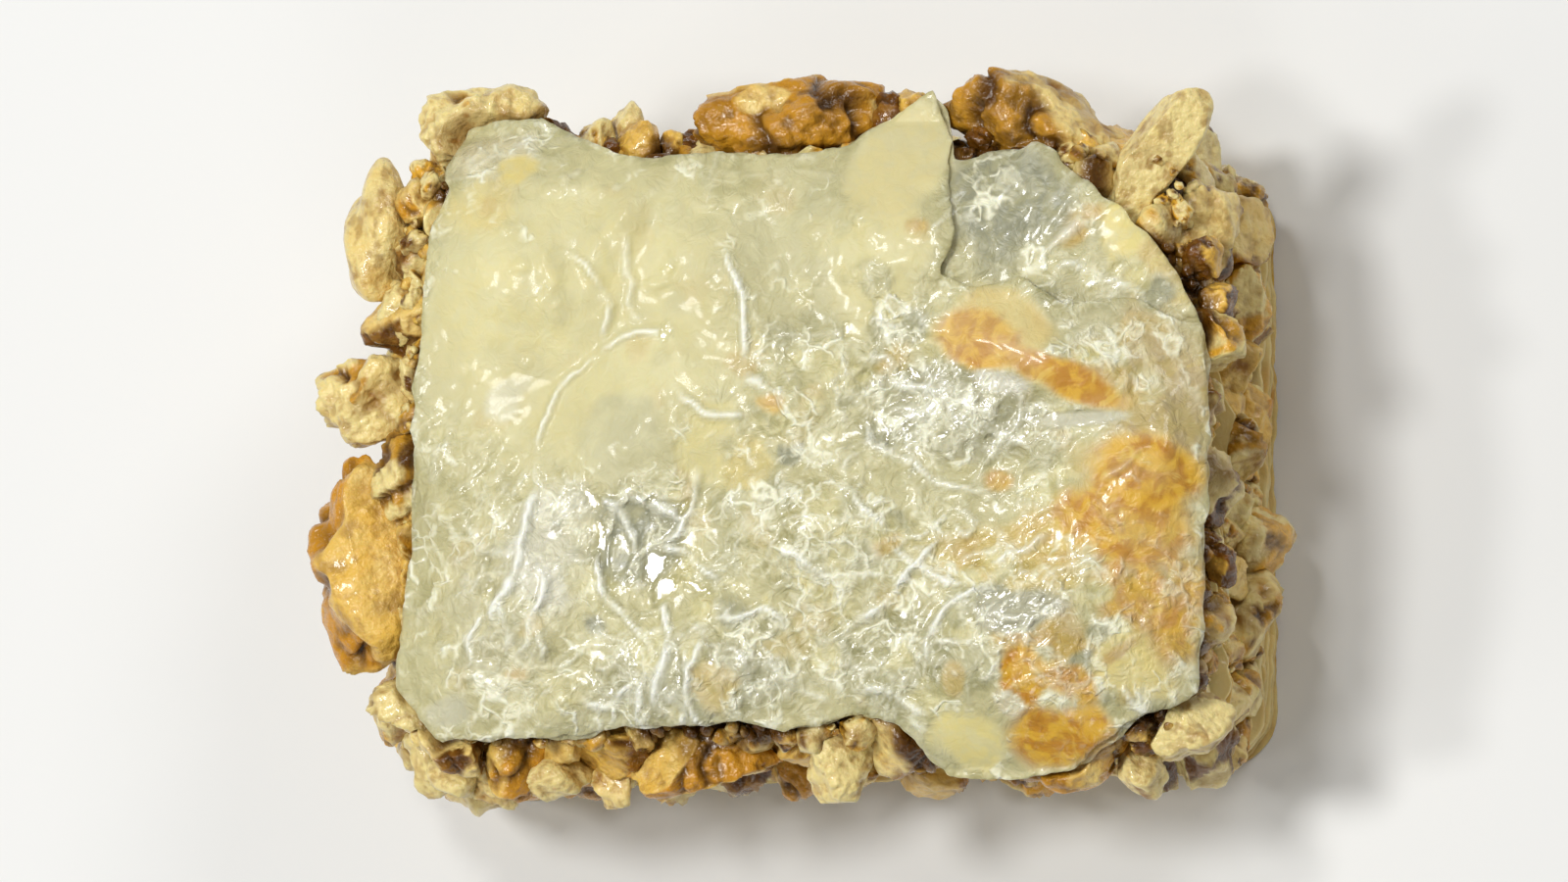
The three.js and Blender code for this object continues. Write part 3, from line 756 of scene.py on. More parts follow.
# %% Torn outlines
# x and y of the corners of each outline, clockwise from the back left
SHEET_OUTLINE = [
    (-23.8, 22.3), (-21.6, 22.9), (-18.4, 23.2), (-14.8, 20.9), (-11, 19.9), (-5.4, 20.3),
    (-1, 19.8), (2.6, 20.3), (6, 22.4), (8.8, 24.3), (9.6, 22.6), (11, 19.4), (13.4, 19.8),
    (16.1, 20.6), (18, 18.9), (22.2, 15.4), (25.5, 12.1), (27.2, 9), (28, 6.5), (28.1, 0),
    (28, -6.5), (27.7, -12), (27.3, -17.3), (25, -18.2), (22.7, -19.2), (18.7, -22), (16, -22.3),
    (13.3, -22.6), (9.8, -22.2), (8.4, -20.8), (6.6, -18.8), (4.2, -18.1), (1.4, -18.9),
    (-0.8, -19.4), (-4, -18.6), (-8.4, -18.9), (-12, -18.6), (-14.6, -19.4), (-19.4, -19.3),
    (-22.6, -19.4), (-25.2, -19.5), (-26.9, -18), (-28.3, -15.8), (-28.3, -13.4), (-27.6, -8),
    (-27.1, -2.8), (-27, 1), (-26.9, 4.2), (-26.1, 9.8), (-25.9, 15), (-24.6, 18.2), (-25.1, 19.8),
]
MISSING_CORNER = [
    (10.8, 30), (10.4, 17.5), (11.1, 14), (10.5, 11.2), (12.6, 10.2), (15.5, 10.9), (18.6, 8.9),
    (23, 9.4), (26, 7.6), (35, 8), (35, 30),
]


def inside(x, y, outline):
    """Distance to a closed outline, above 0 inside it. A point is inside when a line from it to
    the right crosses the outline an odd number of times."""
    corners = np.array(outline, float)
    nearest, odd = np.full_like(x, 99.0), np.zeros(x.shape, bool)
    for (ax, ay), (bx, by) in zip(corners, np.roll(corners, -1, axis=0)):
        along, across = bx - ax, by - ay
        t = np.clip(((x - ax) * along + (y - ay) * across) / (along**2 + across**2), 0, 1)
        nearest = np.minimum(nearest, np.hypot(x - ax - t * along, y - ay - t * across))
        if across:
            odd ^= ((ay > y) != (by > y)) & (x < ax + along * (y - ay) / across)
    return np.where(odd, nearest, -nearest)


middle_depth = inside(np.zeros(1), np.zeros(1), SHEET_OUTLINE)
print("the middle is", middle_depth.round(1), "mm inside the outline")

# %% [markdown]
# ## Broken walnuts
#
# A chopped kernel is a lobed, furrowed skin cut by a few flat breaks. It could be sculpted, but
# there are hundreds. Instead one function gives the distance from the middle of any kernel to its
# surface in every direction, for many kernels at once: the smallest of the skin and the breaks.

# %% Kernel shapes
LOBES = 0.17
NEAREST_BREAK, FARTHEST_BREAK = 0.6, 0.86


def random_direction(item, trait):
    """An even draw on the unit ball: a height, and an angle round the axis."""
    z = 2 * chance(item, trait) - 1
    angle = 2 * np.pi * chance(item, trait + 1)
    flat = np.sqrt(1 - z * z)
    return np.stack([flat * np.cos(angle), flat * np.sin(angle), z], axis=-1)


def kernel_reach(directions, item, breaks):
    """For each kernel and direction: the reach of its surface, and 1 where that is skin, not a
    break. The skin is a ball with lobes. A break is a plane: its depth over the cosine of the
    angle to its direction."""
    x, y, z = directions.T
    a, b = (2 * np.pi * chance(item, trait)[:, None] for trait in (11, 12))
    skin = 1 + LOBES * np.sin(3.2 * x + 2.1 * z + a) * np.cos(3.6 * y - 1.7 * x + b)
    cut = np.full_like(skin, 9.0)
    for k in range(breaks):
        facing = random_direction(item, 20 + 2 * k) @ directions.T
        depth = mix(NEAREST_BREAK, FARTHEST_BREAK, chance(item, 30 + k))[:, None]
        cut = np.minimum(cut, np.where(facing > 0.05, depth / np.maximum(facing, 0.05), 9.0))
    return np.minimum(skin, cut), smoothstep(-0.01, 0.04, cut - skin)


def turn_matrices(turns):
    """Rotation about Z, then Y, then X, for rows of three angles in degrees."""
    (cx, cy, cz), (sx, sy, sz) = np.cos(np.radians(turns)).T, np.sin(np.radians(turns)).T
    one, nil = np.ones_like(cx), np.zeros_like(cx)
    about_x = np.stack([one, nil, nil, nil, cx, -sx, nil, sx, cx], axis=-1).reshape(-1, 3, 3)
    about_y = np.stack([cy, nil, sy, nil, one, nil, -sy, nil, cy], axis=-1).reshape(-1, 3, 3)
    about_z = np.stack([cz, -sz, nil, sz, cz, nil, nil, nil, one], axis=-1).reshape(-1, 3, 3)
    return about_x @ about_y @ about_z


reach, _ = kernel_reach(ball(8, 5)[0], np.arange(3), 3)
print("three kernels reach from", reach.min(axis=1).round(2), "to", reach.max(axis=1).round(2))

# %% [markdown]
# What makes a walnut look like one is the surface. Skin has furrows, soft valleys where noise
# passes through zero, and painted shade makes it darkest in them. Broken flesh has steps, as a
# staircase laid over noise. Both are cut towards the middle of the kernel, so that the surface
# can't fold over itself. Painted shade also darkens the treads of the steps and the pits.

# %% Kernel surfaces
FURROW_DEPTH, WRINKLE_DEPTH, CHIP_DEPTH, CHIP_START, PIT_DEPTH = 0.14, 0.05, 0.23, 0.03, 0.07


def staircase(value, steps):
    """Value with flat treads: the value less a sine that cancels its slope at each step."""
    return value - np.sin(2 * np.pi * steps * value) / (2 * np.pi * steps)


def kernels(
    items, centres, halves, turns, around, rings, tone=None, soak=None, breaks=3,
    keep_skin=0.5, crag=1.0, bare=None,
):
    """All points, triangles and "kernel" marks of a batch of walnut pieces: skin, darkness with
    painted shade in the furrows, soaking and painted crevice shade. halves are half lengths along
    three axes. keep_skin is about the share of skin left, crag deepens the relief of the flesh, and
    bare is a direction in which the skin is gone."""
    directions, triangles = ball(around, rings)
    reach, skin = kernel_reach(directions, items, breaks)
    size = halves.mean(axis=1)[:, None]
    spot = reach[..., None] * directions * (halves / size)[:, None, :]
    own = spot + items[:, None, None] * 3.7 % 91
    furrow = bell(cloud(own, 0.8, 2, 3), 0.13)
    wrinkle = bell(cloud(own, 0.3, 2, 4), 0.2)
    chips = staircase(cloud(own, 0.75, 3, 9), 3)
    pits = cloud(own, 0.22, 2, 5)
    skin = skin * smoothstep(0.08, 0.0, cloud(own, 0.9, 3, 6) + 0.6 - 1.2 * keep_skin)
    turned = turn_matrices(turns)
    if bare is not None:
        facing = bare @ turned[0] @ directions.T
        skin = skin * smoothstep(0.35, 0.05, facing + 0.5 * cloud(own, 0.6, 2, 7))
    skin_cut = FURROW_DEPTH * furrow + WRINKLE_DEPTH * wrinkle
    flesh_cut = crag * (CHIP_DEPTH * chips + CHIP_START)
    cut = mix(flesh_cut, skin_cut, skin) + PIT_DEPTH * crag * pits
    spot = spot * (1 - cut)[..., None] * size[..., None]
    points = np.einsum("kij,kmj->kmi", turned, spot) + centres[:, None, :]
    steps = len(directions) * np.arange(len(items))[:, None, None]
    tone = chance(items, 51) if tone is None else tone
    soak = chance(items, 52) ** 1.6 if soak is None else soak
    # The skin's own tone, with painted shade that darkens it in the furrows
    dark = np.clip(tone[:, None] + 0.4 * furrow - 0.1, 0, 1)
    # Painted shade in the treads of the chips, in the furrows and in the pits
    treads = 0.75 * min(1, crag) * smoothstep(0.12, 0.5, chips)
    crevice_shade = mix(treads, 0.7 * furrow, skin) + 0.5 * smoothstep(0.15, 0.5, pits)
    marks = np.stack([skin, dark, soak[:, None] + 0 * skin, np.clip(crevice_shade, 0, 1)], axis=-1)
    return points.reshape(-1, 3), (triangles + steps).reshape(-1, 3), marks.reshape(-1, 4)


# %% [markdown]
# Wherever nuts lie under the sheet, they are pressed down below it. In an uneven band under the
# rim they are darkened with painted shade. The same function does both for every batch of nuts,
# and then makes the piece.

# %% Nuts under the sheet
SHEET_AND_GAP = 1.35
RISE_OUTSIDE = 1.5
# The most that painted shade under the rim raises skin, darkness and crevice shade to
MOST_SKIN, MOST_DARK, MOST_CREVICE_SHADE = 1, 1, 0.7


def below_sheets(points):
    """Points under the top sheets are pressed down to 1.35 mm below the upper one. Outside its
    outline they may rise by 1.5 mm for each mm."""
    x, y, z = points.T
    past = np.maximum(0, -inside(x, y, SHEET_OUTLINE))
    ceiling = top_height(x, y) - SHEET_AND_GAP + RISE_OUTSIDE * past
    return np.stack([x, y, np.minimum(z, ceiling)], axis=-1)


def paint_rim_shade(points, marks, rim_shade):
    """Painted shade: marks with skin, darkness and crevice shade raised in an uneven band close
    under the sheet's rim, a little farther in at the left. rim_shade scales how far they are
    raised."""
    x, y, z = points.T
    outline = inside(x, y, SHEET_OUTLINE) + 2.4 * cloud(in_plan(x, y), 2.6, 2, 86)
    band = smoothstep(-0.7, 0.3, outline - 0.5 * smoothstep(-22, -26, x))
    near = band * smoothstep(-5, -2.5, z - top_height(x, y))
    highest = rim_shade * np.array([MOST_SKIN, MOST_DARK, 0, MOST_CREVICE_SHADE])
    return np.maximum(marks, highest * near[:, None])


def place_nuts(name, points, triangles, marks, rim_shade=1.0):
    """One piece of a batch of kernels that lie under the sheet or beside it."""
    points = below_sheets(points)
    marks = paint_rim_shade(points, marks, rim_shade)
    return make_piece(name, points, triangles, walnut_look, {"kernel": marks})


# %% [markdown]
# ## The large nuts
#
# Eleven nuts are large enough to be known one by one. They stand where the CAD has them and are
# made with the same formula, finer. Each replaces its own node. Three lie over the sheet's rim or
# clear of it, so nothing presses on them.

# %% Large nuts
# node: centre, half lengths, turns, tone (0 amber to 1 brown), soaking, share of skin, crag, breaks
LARGE_NUTS = {
    "nut_oval_left": ((-30.4, 15.3, 20.8), (4.8, 2.6, 2.6), (6, 4, 86), 0.1, 0.35, 0.0, 0.3, 0),
    "walnut_crag_left": ((-30.7, 4.4, 19.8), (4.4, 3.3, 3), (10, 8, 16), 0.45, 0.25, 0.15, 1.4, 3),
    "walnut_gold_left": ((-31, -7.6, 20), (7.1, 4.6, 4), (8, 12, 100), 0.12, 0.75, 0.9, 0.5, 2),
    "nut_back_corner": ((-23.2, 22.6, 20.6), (4.6, 3.2, 3), (12, 5, 8), 0.2, 0.2, 0.1, 1.2, 3),
    "walnut_back_left": ((-1.4, 22.4, 20.4), (6.8, 3.8, 3.6), (10, 6, 6), 0.45, 0.6, 0.95, 1.0, 2),
    "walnut_back_right": ((15.2, 21.8, 20.2), (6.2, 3.5, 3.4), (8, 8, -24), 0.5, 0.4, 0.98, 1.0, 0),
    "nut_sliver_corner": ((24.1, 18.9, 22.8), (5.8, 2.2, 2), (5, -7, 55), 0.1, 0.2, 0.0, 0.4, 2),
    "nut_crumb_corner": ((25.9, -18.9, 20.6), (3, 2.6, 2.4), (0, 10, 30), 0.1, 0.1, 0.0, 0.8, 3),
    "walnut_front_corner": ((18.2, -19.9, 21), (4.7, 3.1, 3), (8, 4, 12), 0.25, 0.6, 0.9, 0.8, 2),
    "nut_front_cream": ((2, -20.9, 20.6), (3, 2.4, 2.4), (15, 5, 70), 0.2, 0.1, 0.1, 0.9, 3),
    "walnut_front_mid": ((-8, -20.6, 19.8), (5.6, 3, 3.2), (10, 5, 4), 0.35, 0.7, 0.85, 1.0, 3),
}
OVER_THE_SHEET = ("nut_sliver_corner", "nut_crumb_corner", "nut_front_cream")
# The direction in which the skin is gone from one side
BARE_SIDES = {"walnut_gold_left": (0.8, 0, 0.6), "walnut_back_right": (0.78, 0.62, -0.1)}
FIRST_LARGE = 900
# How strongly painted shade under the rim darkens the large nuts
LARGE_RIM_SHADE = 0.55


def large_nut(name, item):
    """One nut of LARGE_NUTS as a batch of one, in its node's place."""
    centre, half, turn, tone, soak, skin, crag, breaks = LARGE_NUTS[name]
    rows = [np.array([row], float) for row in (centre, half, turn)]
    marks = [np.array([tone]), np.array([soak]), breaks, skin, crag, BARE_SIDES.get(name)]
    points, triangles, marks = kernels(np.array([item]), *rows, 120, 79, *marks)
    piece_name = f"{name}_piece"
    if name in OVER_THE_SHEET:
        piece = make_piece(piece_name, points, triangles, walnut_look, {"kernel": marks})
    else:
        piece = place_nuts(piece_name, points, triangles, marks, LARGE_RIM_SHADE)
    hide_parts(name)


for k, node in enumerate(LARGE_NUTS):
    large_nut(node, FIRST_LARGE + k)

# %% [markdown]
# ## The nuts in the walls
#
# The large nuts in the walls are drawn in the same seeded order as in the CAD, so they land in the
# same places. Each draw that comes too close to an earlier nut is left out. Finer nuts, which the
# CAD leaves out, then fill the spaces between them.

# %% Draw the wall nuts
# radius from, radius to, draws
CAD_NUTS = [(2.8, 3.6, 110), (1.9, 2.5, 240), (1.2, 1.6, 110)]
FINER_NUTS = [(1.3, 2.0, 500), (0.9, 1.3, 500)]
SHAPE = np.array([1.22, 0.96, 0.84])
# floor, roof, first item
LAYERS = {
    "lower": (BASE_HEIGHT, MIDDLE_LEVEL - 0.8, 1000),
    "upper": (MIDDLE_LEVEL + 0.8, TOP_LEVEL - 1.8, 2000),
}


def draw_nuts(item, classes, place, closest, earlier=()):
    """Items, centres and radii of the nuts that find room after earlier ones. place gives a nut's
    centre, or None to leave it out. Nuts stand apart by closest times the sum of their radii."""
    centres, radii = [centre for centre, _ in earlier], [radius for _, radius in earlier]
    kept = []
    for low, high, draws in classes:
        for item in range(item + 1, item + 1 + draws):
            radius = mix(low, high, chance(item, 1))
            centre = place(item, radius)
            if centre is None:
                continue
            apart = np.linalg.norm(np.array(centres).reshape(-1, 3) - centre, axis=1)
            if (apart > closest * (np.array(radii) + radius)).all():
                centres.append(centre)
                radii.append(radius)
                kept.append(item)
    count = len(kept)
    return np.array(kept), np.array(centres[-count:]), np.array(radii[-count:])


def in_the_wall(floor, roof, proud):
    """Places by chance between floor and roof, standing out by proud times the radius."""

    def place(item, radius):
        z = mix(floor + 0.8 * radius, roof - 0.8 * radius, chance(item, 2))
        point, outward = wall(chance(item, 3)[None], z)
        return point[0] + proud * radius * outward[0]

    return place


large = [(np.array(c, float), (h[0] + h[1]) / 2) for c, h, *_ in LARGE_NUTS.values()]
wall_nuts = {}
for layer, (floor, roof, first) in LAYERS.items():
    nuts = draw_nuts(first, CAD_NUTS, in_the_wall(floor, roof, 0.05), 0.75, large)
    earlier = large + list(zip(*nuts[1:]))
    bits = draw_nuts(first + 5000, FINER_NUTS, in_the_wall(floor, roof, 0.0), 0.62, earlier)
    wall_nuts[layer] = {"pieces": nuts, "bits": bits}
    print(f"{layer} layer: {len(nuts[0])} nuts as in the CAD and {len(bits[0])} finer ones")

# %% [markdown]
# Each layer's nuts become two meshes: the pieces that the CAD has too, and the finer bits. A bit is
# half as large, so it gets a quarter of the faces.

# %% Build the wall nuts
# points around, rings
FINENESS = {"pieces": (44, 31), "bits": (20, 13)}


def batch(items, centres, radii):
    """What kernels wants to know first: items, centres, half lengths, and turns by chance."""
    turns = np.stack([360 * chance(items, trait) for trait in (41, 42, 43)], axis=1)
    return items, centres, np.reshape(radii, (-1, 1)) * SHAPE, turns


for layer, kinds in wall_nuts.items():
    for kind, nuts in kinds.items():
        made = kernels(*batch(*nuts), *FINENESS[kind], breaks=5)
        place_nuts(f"walnut_{layer}_{kind}", *made)

# %% [markdown]
# A few more stick out at the rim where they catch the eye: cream crumbs at the left and front left,
# gold and brown ones between the large nuts at the back, and dark ones in the gaps at the rim, put
# there as painted shade in those gaps.

# %% Rim nuts
# x, y, z, radius, tone, soaking, share of skin
RIM_NUTS = np.array([
    (-18.2, 21.4, 20.4, 1.9, 0.3, 0.7, 0.3),
    (-15.6, 21.5, 19.6, 1.7, 0.1, 0.15, 0.3),
    (-13.5, 22.5, 18.8, 1.6, 0.1, 0.05, 0.3),
    (-12.1, 21.2, 20.6, 1.9, 0.2, 0.9, 0.3),
    (-9.9, 20.9, 19.8, 1.5, 0.9, 0.9, 0.3),
    (6.9, 22.9, 20, 1.9, 0.4, 0.9, 0.3),
    (-28.3, 10.4, 21.6, 1.9, 0, 0, 0.3),
    (-27.6, 7.4, 20.8, 1.3, 0.1, 0.2, 0.3),
    (-30.6, -16.4, 15.6, 2.3, 0.1, 0.05, 0.3),
    (-29.2, -18.9, 14.2, 2.1, 0.2, 0.2, 0.3),
    (-27.2, -20.8, 18.2, 1.9, 0.1, 0.1, 0.2),
    (-25.2, -21.3, 19.4, 1.9, 0, 0, 0.1),
    (-22.4, -21.8, 19.2, 1.9, 0, 0, 0.1),
    (-18.2, -21.6, 20, 1.9, 0.1, 0.25, 0.1),
    (-14.4, -21.9, 18.6, 1.7, 0.1, 0.4, 0.2),
    (22.4, -22.1, 18.8, 1.8, 0, 0.05, 0.1),
    # Dark ones in the gaps at the rim: painted shade
    (-8.1, 20.9, 20, 1.4, 1, 1, 1),
    (-14.2, 20.7, 20.4, 1.2, 1, 1, 1),
    (5.1, 22.1, 19.6, 2, 0.95, 1, 1),
    (19.4, 19.6, 21.6, 1.6, 1, 1, 1),
    (12.1, 20.7, 21.4, 1.3, 0.9, 1, 1),
    (27.4, 12.2, 22.4, 1.7, 1, 1, 1),
    (28.2, 9.4, 21.4, 1.5, 0.9, 1, 1),
    (28.1, -8.4, 20.4, 1.5, 1, 1, 1),
    (6.6, -20.3, 20.2, 1.8, 1, 1, 1),
    (-13.4, -20.3, 20.2, 1.5, 1, 1, 1),
    (-20.3, -20.6, 19.8, 1.4, 0.95, 1, 1),
    (23, -19.9, 20.6, 1.3, 0.95, 1, 1),
    (-27.4, 14.4, 21, 1.4, 0.9, 1, 1),
    (-29.6, -1.4, 19.4, 1.7, 0.95, 1, 1),
])
FIRST_RIM = 800

items = FIRST_RIM + np.arange(len(RIM_NUTS))
centres, (radii, tone, soak), skin = RIM_NUTS[:, :3], RIM_NUTS[:, 3:6].T, RIM_NUTS[:, 6:]
made = kernels(*batch(items, centres, radii), 32, 21, tone, soak, 4, skin)
place_nuts("walnut_rim_pieces", *made)

# %% [markdown]
# Crumbs fill what is left. They are small, so each has only a few dozen faces, and no two need to
# be kept apart.

# %% Crumbs
CRUMBS = 900
DEEPEST_CRUMB, PROUDEST_CRUMB = -0.9, 0.5


def scatter_crumbs(layer, floor, roof, first):
    """Crumbs by chance all over one layer's wall, most of them small."""
    items = first + np.arange(CRUMBS)
    radii = mix(0.3, 0.85, chance(items, 1) ** 2)
    point, outward = wall(chance(items, 3), mix(floor + 0.3, roof - 0.3, chance(items, 2)))
    proud = mix(DEEPEST_CRUMB, PROUDEST_CRUMB, chance(items, 4))
    made = kernels(*batch(items, point + proud[:, None] * outward, radii), 9, 5, breaks=6)
    place_nuts(f"walnut_{layer}_crumbs", *made)


for layer, (floor, roof, first) in LAYERS.items():
    scatter_crumbs(layer, floor, roof, first + 20000)

# %% [markdown]
# Seen from above, a shelf of nuts and crumbs runs round the sheet, widest at its missing corners.
# These are drawn over the plan, and kept where neither the sheet nor a large nut covers them.

# %% Shelf nuts
SHELF_LEVEL, SHELF_DEPTH = TOP_LEVEL - 2.6, 8
SHELF_NUTS = [(1.6, 2.3, 400), (0.9, 1.4, 900), (0.4, 0.8, 2500)]
FIRST_SHELF = 60000


def on_the_shelf(item, radius):
    """A place by chance up to 8 mm in from the wall, or None where something covers it."""
    point, outward = wall(chance(item, 3)[None], SHELF_LEVEL)
    inwards = mix(0.3, SHELF_DEPTH, chance(item, 4) ** 1.5) + 0.5 * radius
    centre = point[0] - inwards * outward[0]
    centre[2] += mix(-0.6, 0.3, chance(item, 2)) - 0.3 * radius
    if inside(*centre[:2, None], SHEET_OUTLINE)[0] > 0.5 * radius:
        return None
    for at, half, turn, *_ in LARGE_NUTS.values():
        if oval_distance(*centre[:2], (*at[:2], 2 * half[0], 2 * half[1], turn[2])) < 1.1:
            return None
    return centre


nuts = draw_nuts(FIRST_SHELF, SHELF_NUTS, on_the_shelf, 0.62)
place_nuts("walnut_shelf_pieces", *kernels(*batch(*nuts), 14, 9, breaks=5))
print(len(nuts[0]), "nuts and crumbs on the shelf")

# %% [markdown]
# ## The paste behind the nuts
#
# Each nut layer has a core of dark paste, a closed form of rings: up the wall, then inwards under
# the sheet above it. Only its crumbly wall shows, between the nuts.

# %% Cores
AROUND = 360
WALL_RINGS = 22
UNDER_CEILING = 0.4


def loft(rings, low_pole, high_pole):
    """Points and triangles of a closed form through rings of points, from bottom to top."""
    points = np.concatenate([np.concatenate(rings), [low_pole, high_pole]])
    return points, ring_triangles(len(rings), len(rings[0]))


def core(layer, floor, roof, ceiling):
    """Rings up the wall with crumbly relief, and rings inwards that keep 0.4 mm under ceiling."""
    share = np.arange(AROUND) / AROUND
    rings = []
    for z in np.linspace(floor, roof, WALL_RINGS):
        point, outward = wall(share, z)
        depth = 0.55 + 0.6 * cloud(point, 2.4, 3, 7) + 0.3 * cloud(point, 0.9, 2, 8)
        rings.append(point - depth[:, None] * outward)
    for scale in (0.97, 0.9, 0.75, 0.5, 0.25):
        ring = rings[WALL_RINGS - 1] * (scale, scale, 1)
        below = ceiling(ring[:, 0], ring[:, 1]) - UNDER_CEILING
        ring[:, 2] = np.minimum(below, roof + 3)
        rings.append(ring)
    centre = ceiling(np.zeros(1), np.zeros(1))[0] - UNDER_CEILING
    points, triangles = loft(rings, (0, 0, floor), (0, 0, centre))
    piece = make_piece(f"walnut_{layer}_paste", points, triangles, paste_look)
    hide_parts(f"walnut_{layer}")


def lower_ceiling(x, y):
    """Below the middle sheets."""
    return middle_height(x, y) - 0.5


def upper_ceiling(x, y):
    """Below the top sheet, and lower still towards its torn outline."""
    return top_height(x, y) - 1.6 - 1.5 * smoothstep(3, -1, inside(x, y, SHEET_OUTLINE))


core("lower", BASE_HEIGHT + 0.2, MIDDLE_LEVEL - 0.8, lower_ceiling)
core("upper", MIDDLE_LEVEL + 0.6, TOP_LEVEL - 4.2, upper_ceiling)

# %% [markdown]
# ## The base and the middle sheets
#
# Only the rims of these sheets show: soft wet lips that touch each other, like a pile of noodle
# sheets. A stack of boxes would look like plywood. So each sheet is a leaf: rings that run out
# over its lower face, round a half circle at the rim and back over its upper face. Slow noise moves
# the outline in and out, and waves that grow from the bottom sheet to the top bend the stack.

# %% Leaves
LIP_ANGLES = np.radians((90, 60, 30))
FLAT_STEPS = (5.0, 2.4, 1.2)
LIP_REACH, DROOP_REACH = 0.6, 0.8


def lip_profile(thickness):
    """How far in from the rim and on which side of the middle each ring is: flat, then a quarter
    circle out to the rim, and the same back."""
    flat = [(step, 1.0) for step in FLAT_STEPS]
    lip = [(thickness / 2 * (1 - np.cos(turn)), np.sin(turn)) for turn in LIP_ANGLES]
    upper = flat + lip
    return [(step, -side) for step, side in upper] + [(0.0, 0.0)] + upper[::-1]


def leaf(name, height, level, thickness, seed, *, node, ragged, droop, soaked):
    """A sheet with its rim a little outside the wall at height. level gives the height of its
    middle at x and y. By noise the rim goes in and out, droops where it stands out, and swells
    and thins."""
    point, outward = wall(np.arange(2 * AROUND) / (2 * AROUND), height)
    point = point + LIP_REACH * outward
    along = point * (1, 1, 0)
    edge = ragged * (cloud(along, 6.0, 3, seed) + 0.3 * cloud(along, 1.3, 3, seed + 1))
    swell = 1 + 0.5 * cloud(along, 2.3, 3, seed + 2)
    rings = []
    for step, side in lip_profile(thickness):
        ring = point + (edge - step)[:, None] * outward
        sink = droop * np.clip(edge, 0, 1) * np.exp(-step / DROOP_REACH)
        ring[:, 2] = level(ring[:, 0], ring[:, 1]) - sink + side * thickness / 2 * swell
        rings.append(ring)
    middle = level(np.zeros(1), np.zeros(1))[0]
    poles = (0, 0, middle - thickness / 2), (0, 0, middle + thickness / 2)
    points, triangles = loft(rings, *poles)
    patch = 0.5 + 0.5 * cloud(points, 5.0, 3, seed + 3)
    amber = np.clip(soaked + smoothstep(0.5, 0.8, patch) - 0.2, 0, 0.8)
    marks = [amber, 0.4 * patch, smoothstep(0.45, 0.2, patch), 0 * patch]
    below = np.stack(marks, axis=-1)
    folds = np.zeros_like(below) + (0.3, 0, 0.7, 0)
    piece = make_piece(name, points, triangles, under_look, {"below": below, "folds": folds})
    if node:
        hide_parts(node)


# %% [markdown]
# Nine sheets make the base. The lower a sheet lies, the more the weight above has pressed it, and
# the flatter it is. The bottom one lay on the tray.

# %% Base sheets
BASE_SHEETS = 9


def base_bottom(k):
    """The sheets lie closer together the lower they are."""
    return BASE_HEIGHT * (k / BASE_SHEETS) ** 1.25


def base_level(k):
    """The bottom sheet lies flat, and waves bend each one above it more."""
    lift = k / (BASE_SHEETS - 1)
    middle = (base_bottom(k) + base_bottom(k + 1)) / 2
    own = 0.08 + 0.3 * lift if k else 0

    def level(x, y):
        spots = in_plan(x, y)
        wave = 0.7 * lift * cloud(spots, 7.0, 3, 41) + own * cloud(spots, 3.4, 2, 42 + k)
        return middle - 0.3 * lift + wave

    return level


for k in range(BASE_SHEETS):
    thickness = 0.85 * (base_bottom(k + 1) - base_bottom(k))
    leaf(
        f"base_sheet_{k + 1}", BASE_HEIGHT, base_level(k), thickness, 40 + 5 * k,
        node=None if k else "pastry_base", ragged=0.9 if k else 0.3, droop=0.25,
        soaked=0.45 - 0.05 * k,
    )

# %% [markdown]
# Three thin sheets lie between the walnut layers. They share their slow waves, and each has some of
# its own, so that they part here and there as wet sheets do.

# %% Middle sheets
MIDDLE_SHEETS = 3
MIDDLE_THICKNESS, MIDDLE_STEP = 0.24, 0.34


def middle_sheet_level(k):
    """Waves of the middle sheet, and some of its own for each of the thin sheets in it."""

    def level(x, y):
        spots = in_plan(x, y)
        wave = 0.4 * cloud(spots, 5.0, 2, 61) + 0.3 * cloud(spots, 3.0, 2, 62 + k)
        return middle_height(x, y) + MIDDLE_STEP * (k - 1) + wave

    return level


for k in range(MIDDLE_SHEETS):
    leaf(
        f"middle_sheet_{k + 1}", MIDDLE_LEVEL, middle_sheet_level(k), MIDDLE_THICKNESS,
        90 + 5 * k, node=None if k else "pastry_middle", ragged=1.7, droop=0.6, soaked=0.15,
    )

# %% [markdown]
# ## The top sheets
#
# The top sheet is the piece that everyone sees first: thin, wet and torn. A cloth simulation would
# drape it, but not with creases and tears where they are wanted. So it is put together step by
# step: where it ends, how it is creased, what shows through it and where syrup stands. The corners
# of its outline would give straight cuts, so noise moves the margins in and out.


# %% Frayed margins
def top_margin(x, y):
    """How far a point is inside the frayed outline without its missing corner."""
    torn = np.minimum(inside(x, y, SHEET_OUTLINE), -inside(x, y, MISSING_CORNER))
    return torn + fray(x, y, 1.6, 0.45, 80)


def under_margin(x, y):
    """How far a point is inside the whole frayed outline, a little smaller than the upper one."""
    return inside(x, y, SHEET_OUTLINE) + fray(x, y, 2.2, 0.6, 84) - 0.1


# %% [markdown]
# Creases run between the nuts, where the wet sheet is pulled or doubled. Each is a short arc: two
# ends and a bend. A few stand where they catch the eye, and the rest are scattered.

# %% Creases
CREASE_WIDTH, SCATTERED_WIDTH, SOFT_WIDTH = 0.26, 0.2, 0.9
SCATTER_LENGTH, SCATTER_WIDTH = 54, 40

